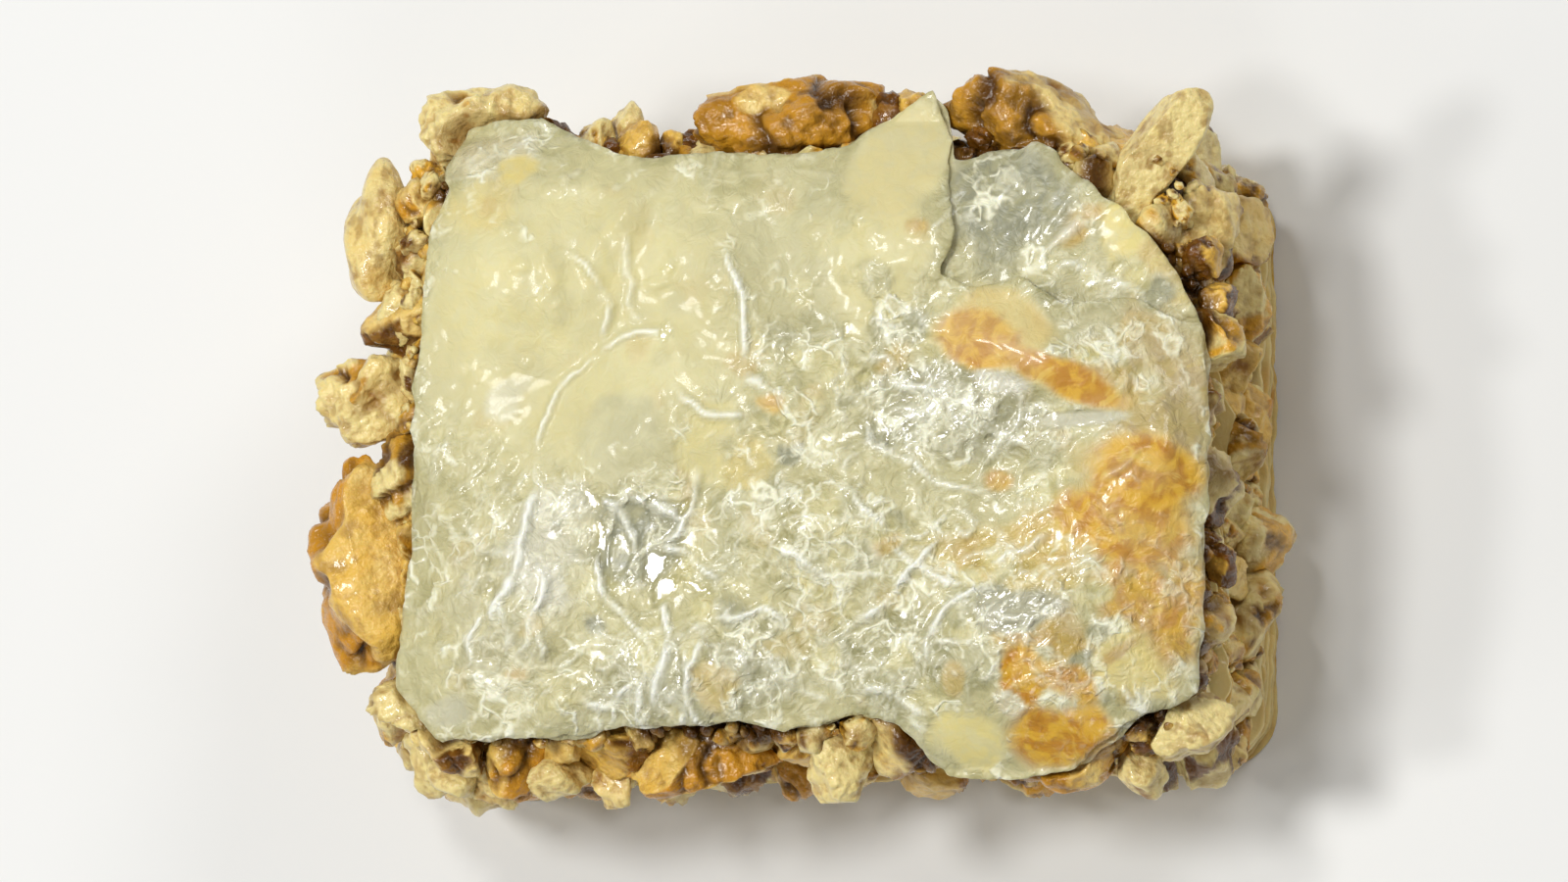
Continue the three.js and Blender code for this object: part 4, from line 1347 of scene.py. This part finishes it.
# x and y of one end, x and y of the other, bend, height
CREASES = [
    (-5.4, 13.6, -3.5, 5.1, 0.9, 0.4),
    (-3.5, 5.1, -0.4, 3.4, -0.5, 0.3),
    (-8.2, 7, -13.8, 6.3, -0.9, 0.3),
    (-13.8, 6.4, -18, -0.5, -1.2, 0.35),
    (-18, -0.5, -21.4, -12.1, 0.8, 0.4),
    (-8.6, -19.2, -7.6, -13.2, -0.7, 0.5),
    (-7.7, -13.4, -0.7, -12, 1.3, 0.45),
    (-10.6, -19.6, -9.6, -14.6, 0.5, 0.4),
    (1.6, -2.3, 6.8, -7, 0.8, 0.3),
    (6.8, -7, 12.4, -9.3, -0.6, 0.35),
    (4, -12.1, 10.5, -6.1, -0.8, 0.45),
    (8.6, -14.6, 13.6, -9.8, 0.9, 0.45),
    (-8.2, 4.2, -2.6, 1.4, -0.6, 0.3),
    (-13.6, -3.4, -10.8, -7.6, 0.8, 0.4),
    (-17.5, -8, -19.8, -14, 0.9, 0.4),
    (-12.6, -5.4, -12, -11.4, -0.8, 0.45),
    (-6.6, -1.8, -8.8, -6.4, 0.5, 0.4),
    (-1.2, -7.8, 2.6, -9.8, 0.8, 0.3),
    (16.8, 12.2, 20.6, 14.6, 0.5, 0.3),
    (17.4, 11.6, 24.6, 8.6, 0.9, 0.25),
    (20.4, -4.6, 24.4, -1, 0.4, 0.25),
    (6.4, 4.4, 12.2, 0.6, 0.9, 0.3),
    (7.8, -0.4, 13.6, -3.4, -0.9, 0.3),
    (-15.4, 13.2, -13.2, 7.2, 1.2, 0.25),
    (-11.8, 14.4, -10.2, 8.2, -0.7, 0.2),
    (-9.4, -10.2, -9, -15.4, 0.5, 0.45),
    (-7.2, -15.2, -6.4, -19.6, -0.4, 0.35),
    (-13.2, -9.8, -10.6, -13.4, 0.5, 0.35),
    (-11.6, -3.2, -6.4, -4.4, -0.6, 0.35),
    (-9.8, -6.6, -5.2, -9.6, 0.7, 0.4),
    (5.2, 5.6, 8.8, 3.4, 0.6, 0.3),
    (9.4, 4.6, 14.8, 1.6, -0.5, 0.3),
    (4.8, 1.8, 8.6, -1.4, -0.7, 0.3),
    (10.6, 1.2, 16.6, -1, 0.5, 0.25),
    (13.4, -8.4, 17.6, -6, -0.5, 0.3),
    (16.8, -9.8, 21.6, -8.6, 0.5, 0.3),
    (14.4, -17.4, 19.6, -16, 0.6, 0.3),
    (-20.6, -9.6, -20, -13.4, 0.4, 0.35),
    (-21.6, -10.4, -22.2, -15, -0.5, 0.35),
    (-18.6, -11, -17.6, -14.6, 0.4, 0.3),
    (-7.9, -12.7, -9.2, -17.9, -0.5, 0.45),
    (-5.8, -11.8, -7.4, -15.2, 0.4, 0.35),
    (-10.9, -16, -15.1, -17.2, 0.5, 0.35),
    (-2.6, -13.6, 2.4, -17.2, -0.6, 0.3),
    (3.8, -16.4, 8.8, -18.6, 0.5, 0.3),
]

# Wide and low ones, where the sheet lies calm
SOFT_FOLDS = [
    (-17.8, 15.5, -16.8, 7.5, 0.5, 0.2),
    (-12.9, 15.6, -12.6, 8.2, -0.6, 0.18),
    (-22.6, 14.4, -20.9, 6.6, 0.4, 0.14),
    (-21.6, 17.4, -14.2, 18.2, 0.7, 0.2),
    (-8.4, 17.8, -7.6, 10.4, -0.5, 0.16),
    (0.6, 16.4, 1.2, 9.6, 0.6, 0.18),
    (5.2, 17.6, 5.8, 9.8, 0.3, 0.16),
    (-22.8, 2.4, -20.4, -6.2, 0.6, 0.16),
    (24.6, 4.4, 26.2, -8.4, 0.5, 0.2),
]


def anywhere(k):
    """x and y by chance, on the sheet or just off its rim."""
    return (chance(k, 1) - 0.5) * SCATTER_LENGTH, (chance(k, 2) - 0.5) * SCATTER_WIDTH


def scattered_creases(count):
    """Short low ones anywhere on the sheet, each trait by chance."""
    k = 300 + np.arange(count)
    x, y = anywhere(k)
    length, angle = mix(0.9, 4.5, chance(k, 3) ** 2), 2 * np.pi * chance(k, 4)
    end_x, end_y = x + length * np.cos(angle), y + length * np.sin(angle)
    bend, height = mix(-1.1, 1.1, chance(k, 5)), mix(0.08, 0.28, chance(k, 6))
    return np.stack([x, y, end_x, end_y, bend, height], axis=1)


def crease_relief(x, y, creases, width):
    """For each crease a bell across its nearest stretch. The arc is a parabola between its ends,
    and slow noise bends it out of true."""
    x, y = x + fray(x, y, 1.9, 0.75, 31), y + fray(x, y, 1.9, 0.75, 32)
    relief = np.zeros_like(x)
    for x0, y0, x1, y1, bend, height in creases:
        reach = np.hypot(x1 - x0, y1 - y0)
        tx, ty = (x1 - x0) / reach, (y1 - y0) / reach
        p = ((x - x0) * tx + (y - y0) * ty) / reach
        q = (y - y0) * tx - (x - x0) * ty - bend * 4 * p * (1 - p)
        ends = smoothstep(-0.05, 0.2, p) * smoothstep(1.05, 0.8, p)
        relief = np.maximum(relief, height * ends * bell(q, width))
    return relief * np.clip(1.1 + fray(x, y, 1.3, 1.3, 33), 0.1, 1.5)


print(len(CREASES), "drawn creases and", len(SOFT_FOLDS), "soft folds")

# %% [markdown]
# What presses against the sheet from below is laid down zone by zone: amber skin, cream flesh, a
# grey hollow painted as its shade, a milky sheen painted as reflected light, and how wrinkled and
# wet the sheet is there. Each zone is an ellipse with an uneven outline.
# Small nuts by chance go first, and the ones that catch the eye over them.

# %% What lies below the sheet
CHANCE_ZONES = 260
PLAIN_SHEET = (0, 0.15, 0.3, 0, 0.5, 0.3)

# x, y, length, width, turn; amber, cream, hollow (painted shade), milky sheen (painted light),
# wrinkled, wet
BROAD_ZONES = [
    (-15, 9, 30, 26, 0, 0, 0.25, 0.05, 0, 0.25, 0.1),
    (-20, 10, 12, 9, 0, 0, 0.4, 0, 0, 0.2, 0.1),
    (-12.4, 12.6, 5, 8, -10, 0, 0.4, 0, 0, 0.22, 0.1),
    (0, 13, 11, 13, 0, 0, 0.1, 0.4, 0, 0.35, 0.1),
    (-21, 19.6, 6, 4.4, 10, 0.1, 0.5, 0.1, 0.25, 0.45, 0.15),
    (7.6, 13.4, 4.6, 6.4, 0, 0, 0.4, 0, 0, 0.28, 0.1),
    (22, 8.5, 11, 9, -30, 0, 0.1, 0.2, 0.1, 0.5, 0.4),
    (-7, -16, 18, 8, 0, 0, 0, 0.5, 0.1, 0.66, 0.8),
    (1, -6, 14, 9, 0, 0, 0.15, 0.25, 0, 0.62, 0.5),
    (-20, -11, 11, 15, 0, 0, 0.2, 0.15, 0.2, 0.55, 0.5),
    (-16.4, -6.4, 11, 7, 80, 0, 0, 0.1, 0.65, 0.5, 0.5),
    (7, -15, 12, 10, 0, 0, 0.05, 0.5, 0, 0.68, 0.6),
    (15, -8.2, 15, 6, -8, 0.25, 0.7, 0, 0, 0.66, 0.7),
    (25, 2, 10, 20, 0, 0.3, 0, 0.45, 0, 0.5, 0.4),
    (24.4, -11.2, 10, 13, 0, 0.7, 0.1, 0.25, 0, 0.6, 0.5),
    (17.6, -14.4, 9, 8, 0, 0.5, 0.1, 0.3, 0, 0.66, 0.7),
    (-21.6, 20.2, 8, 5, 10, 0.05, 0.35, 0.1, 0.35, 0.62, 0.5),
    (-22.6, 16.6, 7, 6, 0, 0.1, 0.6, 0, 0, 0.4, 0.2),
    (6, 12.4, 9, 12, 0, 0, 0.3, 0, 0, 0.26, 0.2),
    (6.8, 18.6, 8, 12, -12, 0.04, 0.55, 0, 0.1, 0.16, 0.2),
    (25.4, 11, 6, 8, 20, 0.3, 0.4, 0, 0, 0.4, 0.3),
]
CLEAR_ZONES = [
    (15, 16.4, 11, 9, 0, 0, 0, 1, 0, 0.47, 0.5),
    (11, 1.8, 16, 8, -8, 0, 0.05, 0.7, 0.1, 0.75, 0.85),
    (-11.6, 0.6, 8, 7, 0, 0, 0, 0.3, 0, 0.25, 0.15),
    (-6, -0.3, 5, 6, 0, 0, 0.5, 0, 0, 0.3, 0.15),
    (-20.3, 3.9, 3.4, 3, 0, 0, 0, 0, 0.3, 0.35, 0.05),
    (-10.6, -6, 6.4, 9, 0, 0, 0, 0.85, 0.1, 0.62, 0.9),
    (-11.3, -5.6, 2.2, 5, -8, 0, 0, 1, 0, 0.3, 0.6),
    (17.4, -6.8, 7.4, 3.8, -14, 0.4, 0.6, 0, 0, 0.6, 0.8),
    (16, -11.6, 7, 3.4, 4, 0, 0, 0.7, 0.3, 0.66, 0.9),
    (16.4, -15.9, 4.6, 3.8, 20, 1, 0, 0, 0, 0.5, 0.8),
    (18.6, -16.3, 5, 3.2, -30, 0.9, 0.1, 0, 0, 0.55, 0.8),
    (14.9, -18, 2.6, 1.2, -40, 0.1, 0.3, 0, 0.5, 0.65, 0.8),
    (17.8, -13.9, 4.2, 1, -8, 0.6, 0.2, 0, 0.1, 0.65, 0.8),
    (18.2, -20, 8.6, 4.6, 4, 0.97, 0.03, 0, 0, 0.4, 0.7),
    (23.2, -15.6, 6, 4.4, -20, 0.1, 0.9, 0, 0, 0.5, 0.4),
    (22.4, -14.6, 2.4, 1.2, 30, 0.5, 0, 0.3, 0, 0.5, 0.4),
    (22.2, -9, 1.5, 1.2, 20, 0.85, 0, 0, 0, 0.6, 0.4),
    (24.4, -9.8, 1.8, 1.2, -40, 0.8, 0, 0, 0, 0.6, 0.4),
    (26, -8.2, 1.6, 1.4, 60, 0.9, 0, 0, 0, 0.5, 0.4),
    (23.1, -11.6, 1.7, 1, 10, 0.8, 0, 0, 0, 0.6, 0.4),
    (25.6, -12.3, 2.2, 1.3, -20, 0.85, 0, 0, 0, 0.5, 0.4),
    (20.8, -12.2, 1.6, 1, 50, 0.75, 0, 0, 0, 0.6, 0.4),
    (23.2, -5.6, 11, 8.4, -8, 0.95, 0.05, 0, 0, 0.45, 0.4),
    (23.6, -2.6, 10, 6.8, -10, 1, 0, 0, 0, 0.35, 0.4),
    (15, 7.6, 9, 4.6, -22, 0.3, 0.5, 0, 0, 0.35, 0.3),
    (13, 6.6, 7.6, 4.2, -18, 0.95, 0.05, 0, 0, 0.3, 0.3),
    (18.8, 3.9, 9.8, 2.9, -26, 0.95, 0, 0, 0, 0.3, 0.3),
    (14.8, 3.6, 4.4, 1.6, -15, 0, 0.1, 0.2, 0.7, 0.5, 0.6),
    (20.2, 1.1, 7.5, 1.3, 2, 0, 0, 0.6, 0.35, 0.3, 0.3),
    (-0.9, 2.8, 3, 2, -20, 0.6, 0.2, 0, 0, 0.4, 0.1),
    (-3.4, -1.4, 4, 3, 0, 0.1, 0.6, 0, 0, 0.5, 0.1),
    (-24, -17.6, 5, 3, 0, 0, 0, 0.5, 0.2, 0.4, 0.1),
    (11.4, -20.4, 5.6, 4.6, 0, 0, 0.85, 0, 0, 0.25, 0.1),
    (-19.6, 19.4, 3.6, 2.4, 0, 0.1, 0.9, 0, 0, 0.3, 0.1),
    (-21.8, 16.6, 2, 1.8, 40, 0.25, 0.5, 0.2, 0, 0.4, 0.1),
    (22.6, 14.6, 6.4, 4.4, 56, 0, 1, 0, 0, 0.25, 0.2),
]


def chance_zones(count):
    """Small nuts scattered under the sheet: a quarter amber, more of them cream, and hollows
    between them that are twice as strong. Most are faint."""
    k = np.arange(count)
    ovals = lesser_nuts(count)[:, :5] * (1, 1, 0.7, 0.7, 1)
    strength, kind = mix(0.15, 0.6, chance(k, 72) ** 2), chance(k, 71)
    amber, hollow = strength * (kind < 0.25), 2 * strength * (kind >= 0.65)
    cream = strength * ((kind >= 0.25) & (kind < 0.65))
    even = np.ones(count)
    marks = [amber, cream, hollow, 0 * even, 0.55 * even, 0.3 * even]
    return np.concatenate([ovals, np.stack(marks, axis=1)], axis=1)


def lay_zones(x, y, zones, marks, edge):
    """Each zone replaces the marks inside its uneven ellipse, and edge is how much of it fades."""
    warp = fray(x, y, 2.6, 1.6, 21)
    for zone in zones:
        far = np.sqrt(oval_distance(x, y, zone[:5])) + warp * 2 / zone[2]
        cover = smoothstep(1.0, 1.0 - edge, far)[..., None]
        marks = mix(marks, np.array(zone[5:]), cover)
    return marks


def sheet_marks(x, y):
    """Amber, cream, hollow, painted milky sheen, wrinkled and wet for each point. Towards the back
    left the sheet is calm, and the small nuts by chance are faint."""
    marks = np.zeros((*x.shape, 6)) + PLAIN_SHEET
    marks = lay_zones(x, y, BROAD_ZONES, marks, 0.5)
    dotted = lay_zones(x, y, chance_zones(CHANCE_ZONES), marks, 0.5)
    calm = smoothstep(-4, 10, y - x - 4)[..., None]
    marks = mix(dotted, marks, 0.75 * calm)
    return lay_zones(x, y, CLEAR_ZONES, marks, 0.4)


print(len(BROAD_ZONES), "broad and", len(CLEAR_ZONES), "clear zones")

# %% [markdown]
# Here and there syrup stands on the sheet, and fills its relief. A pool isn't quite level, or it
# would look like a sticker.

# %% Pools of syrup
CHANCE_POOLS = 150
LEFT_OF_RELIEF = 0.12

# x, y, length, width, turn
POOLS = [
    (-9.6, -7.9, 3, 1.7, 80),
    (-8.9, -9.6, 2.4, 1.5, 50),
    (-13.1, -7.2, 5.6, 1, 101),
    (-13.8, -3.6, 3, 0.9, 130),
    (-7.6, -4.2, 1.6, 0.7, 60),
    (-6.6, -9.6, 3, 0.8, -35),
    (3.6, 7.6, 1.3, 0.8, 80),
    (5, 4.4, 1.4, 0.8, 30),
    (8.4, 4.5, 1.3, 0.7, -40),
    (14.3, -10.8, 2.6, 0.6, 14),
    (16.2, -11.9, 2.8, 0.6, -6),
    (15.2, -12.7, 1.8, 0.5, 12),
    (17.8, -11, 1.4, 0.5, 30),
    (-8.8, 7.8, 2, 0.8, 85),
    (-8.6, 12, 1.6, 1, 20),
]


def chance_pools(count):
    """Tiny ones scattered over the sheet."""
    k = 5000 + np.arange(count)
    x, y = anywhere(k)
    length = mix(0.5, 1.3, chance(k, 3) ** 2)
    width, turn = length * mix(0.4, 0.8, chance(k, 4)), 360 * chance(k, 5)
    return np.stack([x, y, length, width, turn], axis=1)


def lay_pools(x, y, height, pools, allowed=1.0):
    """Almost levels the sheet inside each uneven ellipse. Returns the height, and how much of each
    point is pool."""
    warp = fray(x, y, 1.1, 1.1, 22)
    pool_share = np.zeros_like(x)
    for pool in pools:
        far = np.sqrt(oval_distance(x, y, pool)) + warp / pool[2]
        cover = smoothstep(1.15, 0.75, far) * allowed
        if cover.max() > 0.5:
            level = height[cover > 0.5].mean()
            height = mix(height, level + LEFT_OF_RELIEF * (height - level), cover)
        pool_share = np.maximum(pool_share, cover)
    return height, pool_share


print(len(POOLS), "drawn pools and", CHANCE_POOLS, "by chance")

# %% [markdown]
# The sheet is cut from a fine grid. The squares that are mostly inside the outline are kept, and
# the points on the rim are moved onto the outline, or the rim would have stairs. The margin grows
# by about 1 mm for each mm inwards, so its slope says which way to move them, and by how much.

# %% Cut a sheet from a grid
LEAST_SLOPE = 0.3
FARTHEST_STEP = 0.6  # in squares of the grid


def cut_sheet(spacing, margin):
    """x, y and distance to the outline of each point, and the triangles and rim of the sheet. An
    edge is on the rim where no triangle has it the other way round."""
    sides = (np.arange(CAD_LOW[k], CAD_HIGH[k], spacing) for k in (0, 1))
    x, y = np.meshgrid(*sides, indexing="ij")
    edge = margin(x, y)
    kept = edge[:-1, :-1] + edge[1:, :-1] + edge[:-1, 1:] + edge[1:, 1:] > 0
    # Squares that would touch only at a corner get one more beside them
    kept[1:, :-1] |= kept[:-1, :-1] & kept[1:, 1:] & ~kept[:-1, 1:]
    kept[:-1, :-1] |= kept[1:, :-1] & kept[:-1, 1:] & ~kept[1:, 1:]
    pairs = grid_triangles(np.arange(x.size).reshape(x.shape)).reshape(*kept.shape, 2, 3)
    used, triangles = np.unique(pairs[kept], return_inverse=True)
    triangles, count = triangles.reshape(-1, 3), len(used)
    ahead = np.concatenate([triangles[:, [0, 1]], triangles[:, [1, 2]], triangles[:, [2, 0]]])
    rim = ahead[~np.isin(ahead @ (count, 1), ahead @ (1, count))]
    slope = np.stack(np.gradient(edge, spacing), axis=-1).reshape(-1, 2)[used]
    edge, x, y = edge.ravel()[used], x.ravel()[used], y.ravel()[used]
    step = np.zeros(count)
    step[rim.ravel()] = (edge / np.maximum((slope**2).sum(axis=1), LEAST_SLOPE))[rim.ravel()]
    step = np.clip(step, -FARTHEST_STEP * spacing, FARTHEST_STEP * spacing)
    return x - step * slope[:, 0], y - step * slope[:, 1], np.maximum(edge, 0), triangles, rim


# %% [markdown]
# The relief of the sheet is creases, and wrinkles where the marks call for them. The wrinkles are
# a net in some places and single lines in others, as one kind all over would look like a pattern.

# %% Creases and wrinkles together
SCATTERED = 420
WRINKLE_HEIGHT = 0.24


def sheet_relief(x, y, wrinkled, seed):
    """The highest at each point of drawn creases, scattered ones, and wrinkles: a net of two sizes
    of cell with bent borders, or single lines."""
    spots = in_plan(x, y)
    scattered = crease_relief(x, y, scattered_creases(SCATTERED), SCATTERED_WIDTH)
    scattered = scattered * smoothstep(0.25, 0.6, wrinkled)
    creases = np.maximum(crease_relief(x, y, CREASES, CREASE_WIDTH), scattered)
    bent_x = x + fray(x, y, 1.7, 0.8, seed + 6)
    bent_y = y + fray(x, y, 1.7, 0.8, seed + 7)
    coarse = crackle(bent_x, bent_y, 3.2, 0.16, seed + 9)
    fine = crackle(bent_y, bent_x, 1.9, 0.22, seed + 10)
    net = np.maximum(coarse, 0.7 * fine)
    lines = 0.7 * ridges(spots, 3.4, 0.1, seed + 1)
    netted = smoothstep(-0.1, 0.2, cloud(spots + 30, 2.4, 2, seed + 8))
    wrinkles = np.maximum(net * netted, lines * (1 - netted))
    return np.maximum(creases, WRINKLE_HEIGHT * wrinkles * smoothstep(0.3, 0.65, wrinkled))


# %% [markdown]
# Now everything comes together. The sheet's height is its drape over the nuts with soft folds,
# relief, small blisters and a fluttering rim, and then come the pools. A lower face and a strip
# round the rim close it, so that it is a thin solid sheet and not a skin.

# %% Torn sheets
LOWEST_OF_DRAPE = 0.45
CEILING_GAP = 0.02
RESTLESS_RIM = 0.52
BLISTER_HEIGHT, FLUTTER_HEIGHT, SLOW_HEIGHT = 0.16, 0.5, 0.14
RIDGE_HEIGHT = 0.5
RIM_THICKNESS = 0.45


def torn_sheet(name, spacing, margin, drop, thickness, seed, material, node=None):
    """margin gives how far a point is inside the torn outline, and drop lowers the sheet."""
    x, y, edge, triangles, rim = cut_sheet(spacing, margin)
    count, spots = len(x), in_plan(x, y)
    marks = sheet_marks(x, y)
    restless = RESTLESS_RIM * bell(edge, 2.2) * smoothstep(0.15, 0.4, marks[:, 4])
    wrinkled, wet = np.maximum(marks[:, 4], restless), marks[:, 5]
    relief = sheet_relief(x, y, wrinkled, seed)
    blisters = BLISTER_HEIGHT * smoothstep(0.55, 0.8, cloud(spots + 50, 1.3, 1, seed + 3))
    flutter = FLUTTER_HEIGHT * cloud(spots, 4.5, 2, seed + 4) * np.exp(-edge / 1.2)
    slow = SLOW_HEIGHT * cloud(spots, 2.0, 2, seed + 5)
    slow = crease_relief(x, y, SOFT_FOLDS, SOFT_WIDTH) + slow
    level = top_height(x, y) - LOWEST_OF_DRAPE - drop
    height, large_pools = lay_pools(x, y, level + relief + blisters + flutter + slow, POOLS)
    sticky = smoothstep(0.3, 0.5, wet)
    height, tiny_pools = lay_pools(x, y, height, chance_pools(CHANCE_POOLS), sticky)
    pool_share = np.maximum(large_pools, tiny_pools)
    height = np.minimum(height, CAD_HIGH[2] - CEILING_GAP)
    thin = thickness * mix(RIM_THICKNESS, 1, smoothstep(0, 1, edge))
    faces = [np.stack([x, y, z], axis=-1) for z in (height, height - thin)]
    a, b = rim.T
    corners = (a, a + count, b + count), (a, b + count, b)
    strip = [np.stack(three, axis=-1) for three in corners]
    triangles = np.concatenate([triangles, triangles[:, ::-1] + count, *strip])
    # Where the relief is high the sheet is painted pale: partly doubled sheet, partly a painted
    # highlight
    ridge = np.clip(relief / RIDGE_HEIGHT, 0, 1) ** 1.3 * (1 - pool_share)
    folds = np.stack([wrinkled, ridge, wet, pool_share], axis=-1)
    both = {"below": np.tile(marks[:, :4], (2, 1)), "folds": np.tile(folds, (2, 1))}
    piece = make_piece(name, np.concatenate(faces), triangles, material, both)
    if node:
        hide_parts(node)


torn_sheet("top_sheet", 0.235, top_margin, 0.0, 0.35, 80, top_look, "pastry_top")
torn_sheet("second_sheet", 0.3, under_margin, 0.5, 0.35, 90, top_look)

# %% [markdown]
# ## Floor, light and camera
#
# The piece stands on a plain pale floor, large enough that its edge is never seen.

# %% Floor
floor_values = {"Base Color": (0.82, 0.82, 0.8, 1), "Roughness": 0.7}
floor_look, _, _ = new_material("pale_floor", floor_values)
floor_mesh = bpy.data.meshes.new("floor")
floor_corners = [(-3, -3, 0), (3, -3, 0), (3, 3, 0), (-3, 3, 0)]
floor_mesh.from_pydata(floor_corners, [], [(0, 1, 2, 3)])
floor = add_object("floor", floor_mesh)
floor.data.materials.append(floor_look)

# %% [markdown]
# A large soft light behind to the right gives the wet sheet its sheen and the creases their shade.
# Two more fill the shadows. The last three are small and high, where their mirror images in the
# syrup reach the camera: they make the glints. A pale room lights the rest.

# %% Lights
LIGHTS_AIM = Vector((0, 0, 0.02))
ROOM_LIGHT = 0.127
# place in metres, diameter, power
LAMPS = {
    "key": ((0.5, 0.62, 0.62), 0.35, 2.15),
    "fill": ((-0.62, -0.3, 0.6), 0.3, 0.66),
    "front": ((0.1, -0.8, 0.5), 0.3, 0.95),
    "glints": ((-0.23, 0.075, 0.868), 0.16, 3.2),
    "glints_back": ((-0.06, 0.3, 0.84), 0.11, 1.5),
    "glints_left": ((-0.45, -0.05, 0.78), 0.11, 1.5),
}

for name, (place, diameter, power) in LAMPS.items():
    lamp = bpy.data.lights.new(name, "AREA")
    lamp.shape, lamp.size, lamp.energy = "DISK", diameter, power
    light = add_object(name, lamp)
    light.location = place
    light.rotation_euler = (LIGHTS_AIM - Vector(place)).to_track_quat("-Z", "Y").to_euler()

world = bpy.data.worlds.new("pale_room")
bpy.context.scene.world = world
world.use_nodes = True
background = world.node_tree.nodes["Background"]
background.inputs["Color"].default_value = (1.0, 0.99, 0.97, 1)
background.inputs["Strength"].default_value = ROOM_LIGHT
bpy.context.scene.view_settings.view_transform = "Standard"
print(len(LAMPS), "lamps")

# %% [markdown]
# The camera looks down from the middle of the tray that the piece was cut from, so it sees the top
# with a little of the front and right sides. It is far off with a long lens, as for a tray seen
# whole. Its axes are set directly, with the piece's own back edge along the top of the frame.

# %% Camera
VIEW_FROM = Vector((0.25, -0.105, 1.0)).normalized()
DISTANCE, LENS, SENSOR = 0.8, 270.0, 36.0
AIM_HEIGHT = 0.018

aim = Vector((*((CAD_LOW[:2] + CAD_HIGH[:2]) / 2 * MM), AIM_HEIGHT))
camera_data = bpy.data.cameras.new("camera")
camera_data.lens, camera_data.sensor_width = LENS, SENSOR
camera_data.clip_start, camera_data.clip_end = 0.01, 10
camera = add_object("camera", camera_data)
right = Vector((0, 1, 0)).cross(VIEW_FROM).normalized()
axes = Matrix((right, VIEW_FROM.cross(right), VIEW_FROM)).transposed().to_4x4()
camera.matrix_world = Matrix.Translation(aim + DISTANCE * VIEW_FROM) @ axes
bpy.context.scene.camera = camera
print("camera at", [round(v, 3) for v in camera.matrix_world.translation])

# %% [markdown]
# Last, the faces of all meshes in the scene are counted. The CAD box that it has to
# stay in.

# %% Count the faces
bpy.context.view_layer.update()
meshes = [o for o in bpy.context.scene.objects if o.type == "MESH"]
print(sum(len(o.data.polygons) for o in meshes), "faces with the packed model")
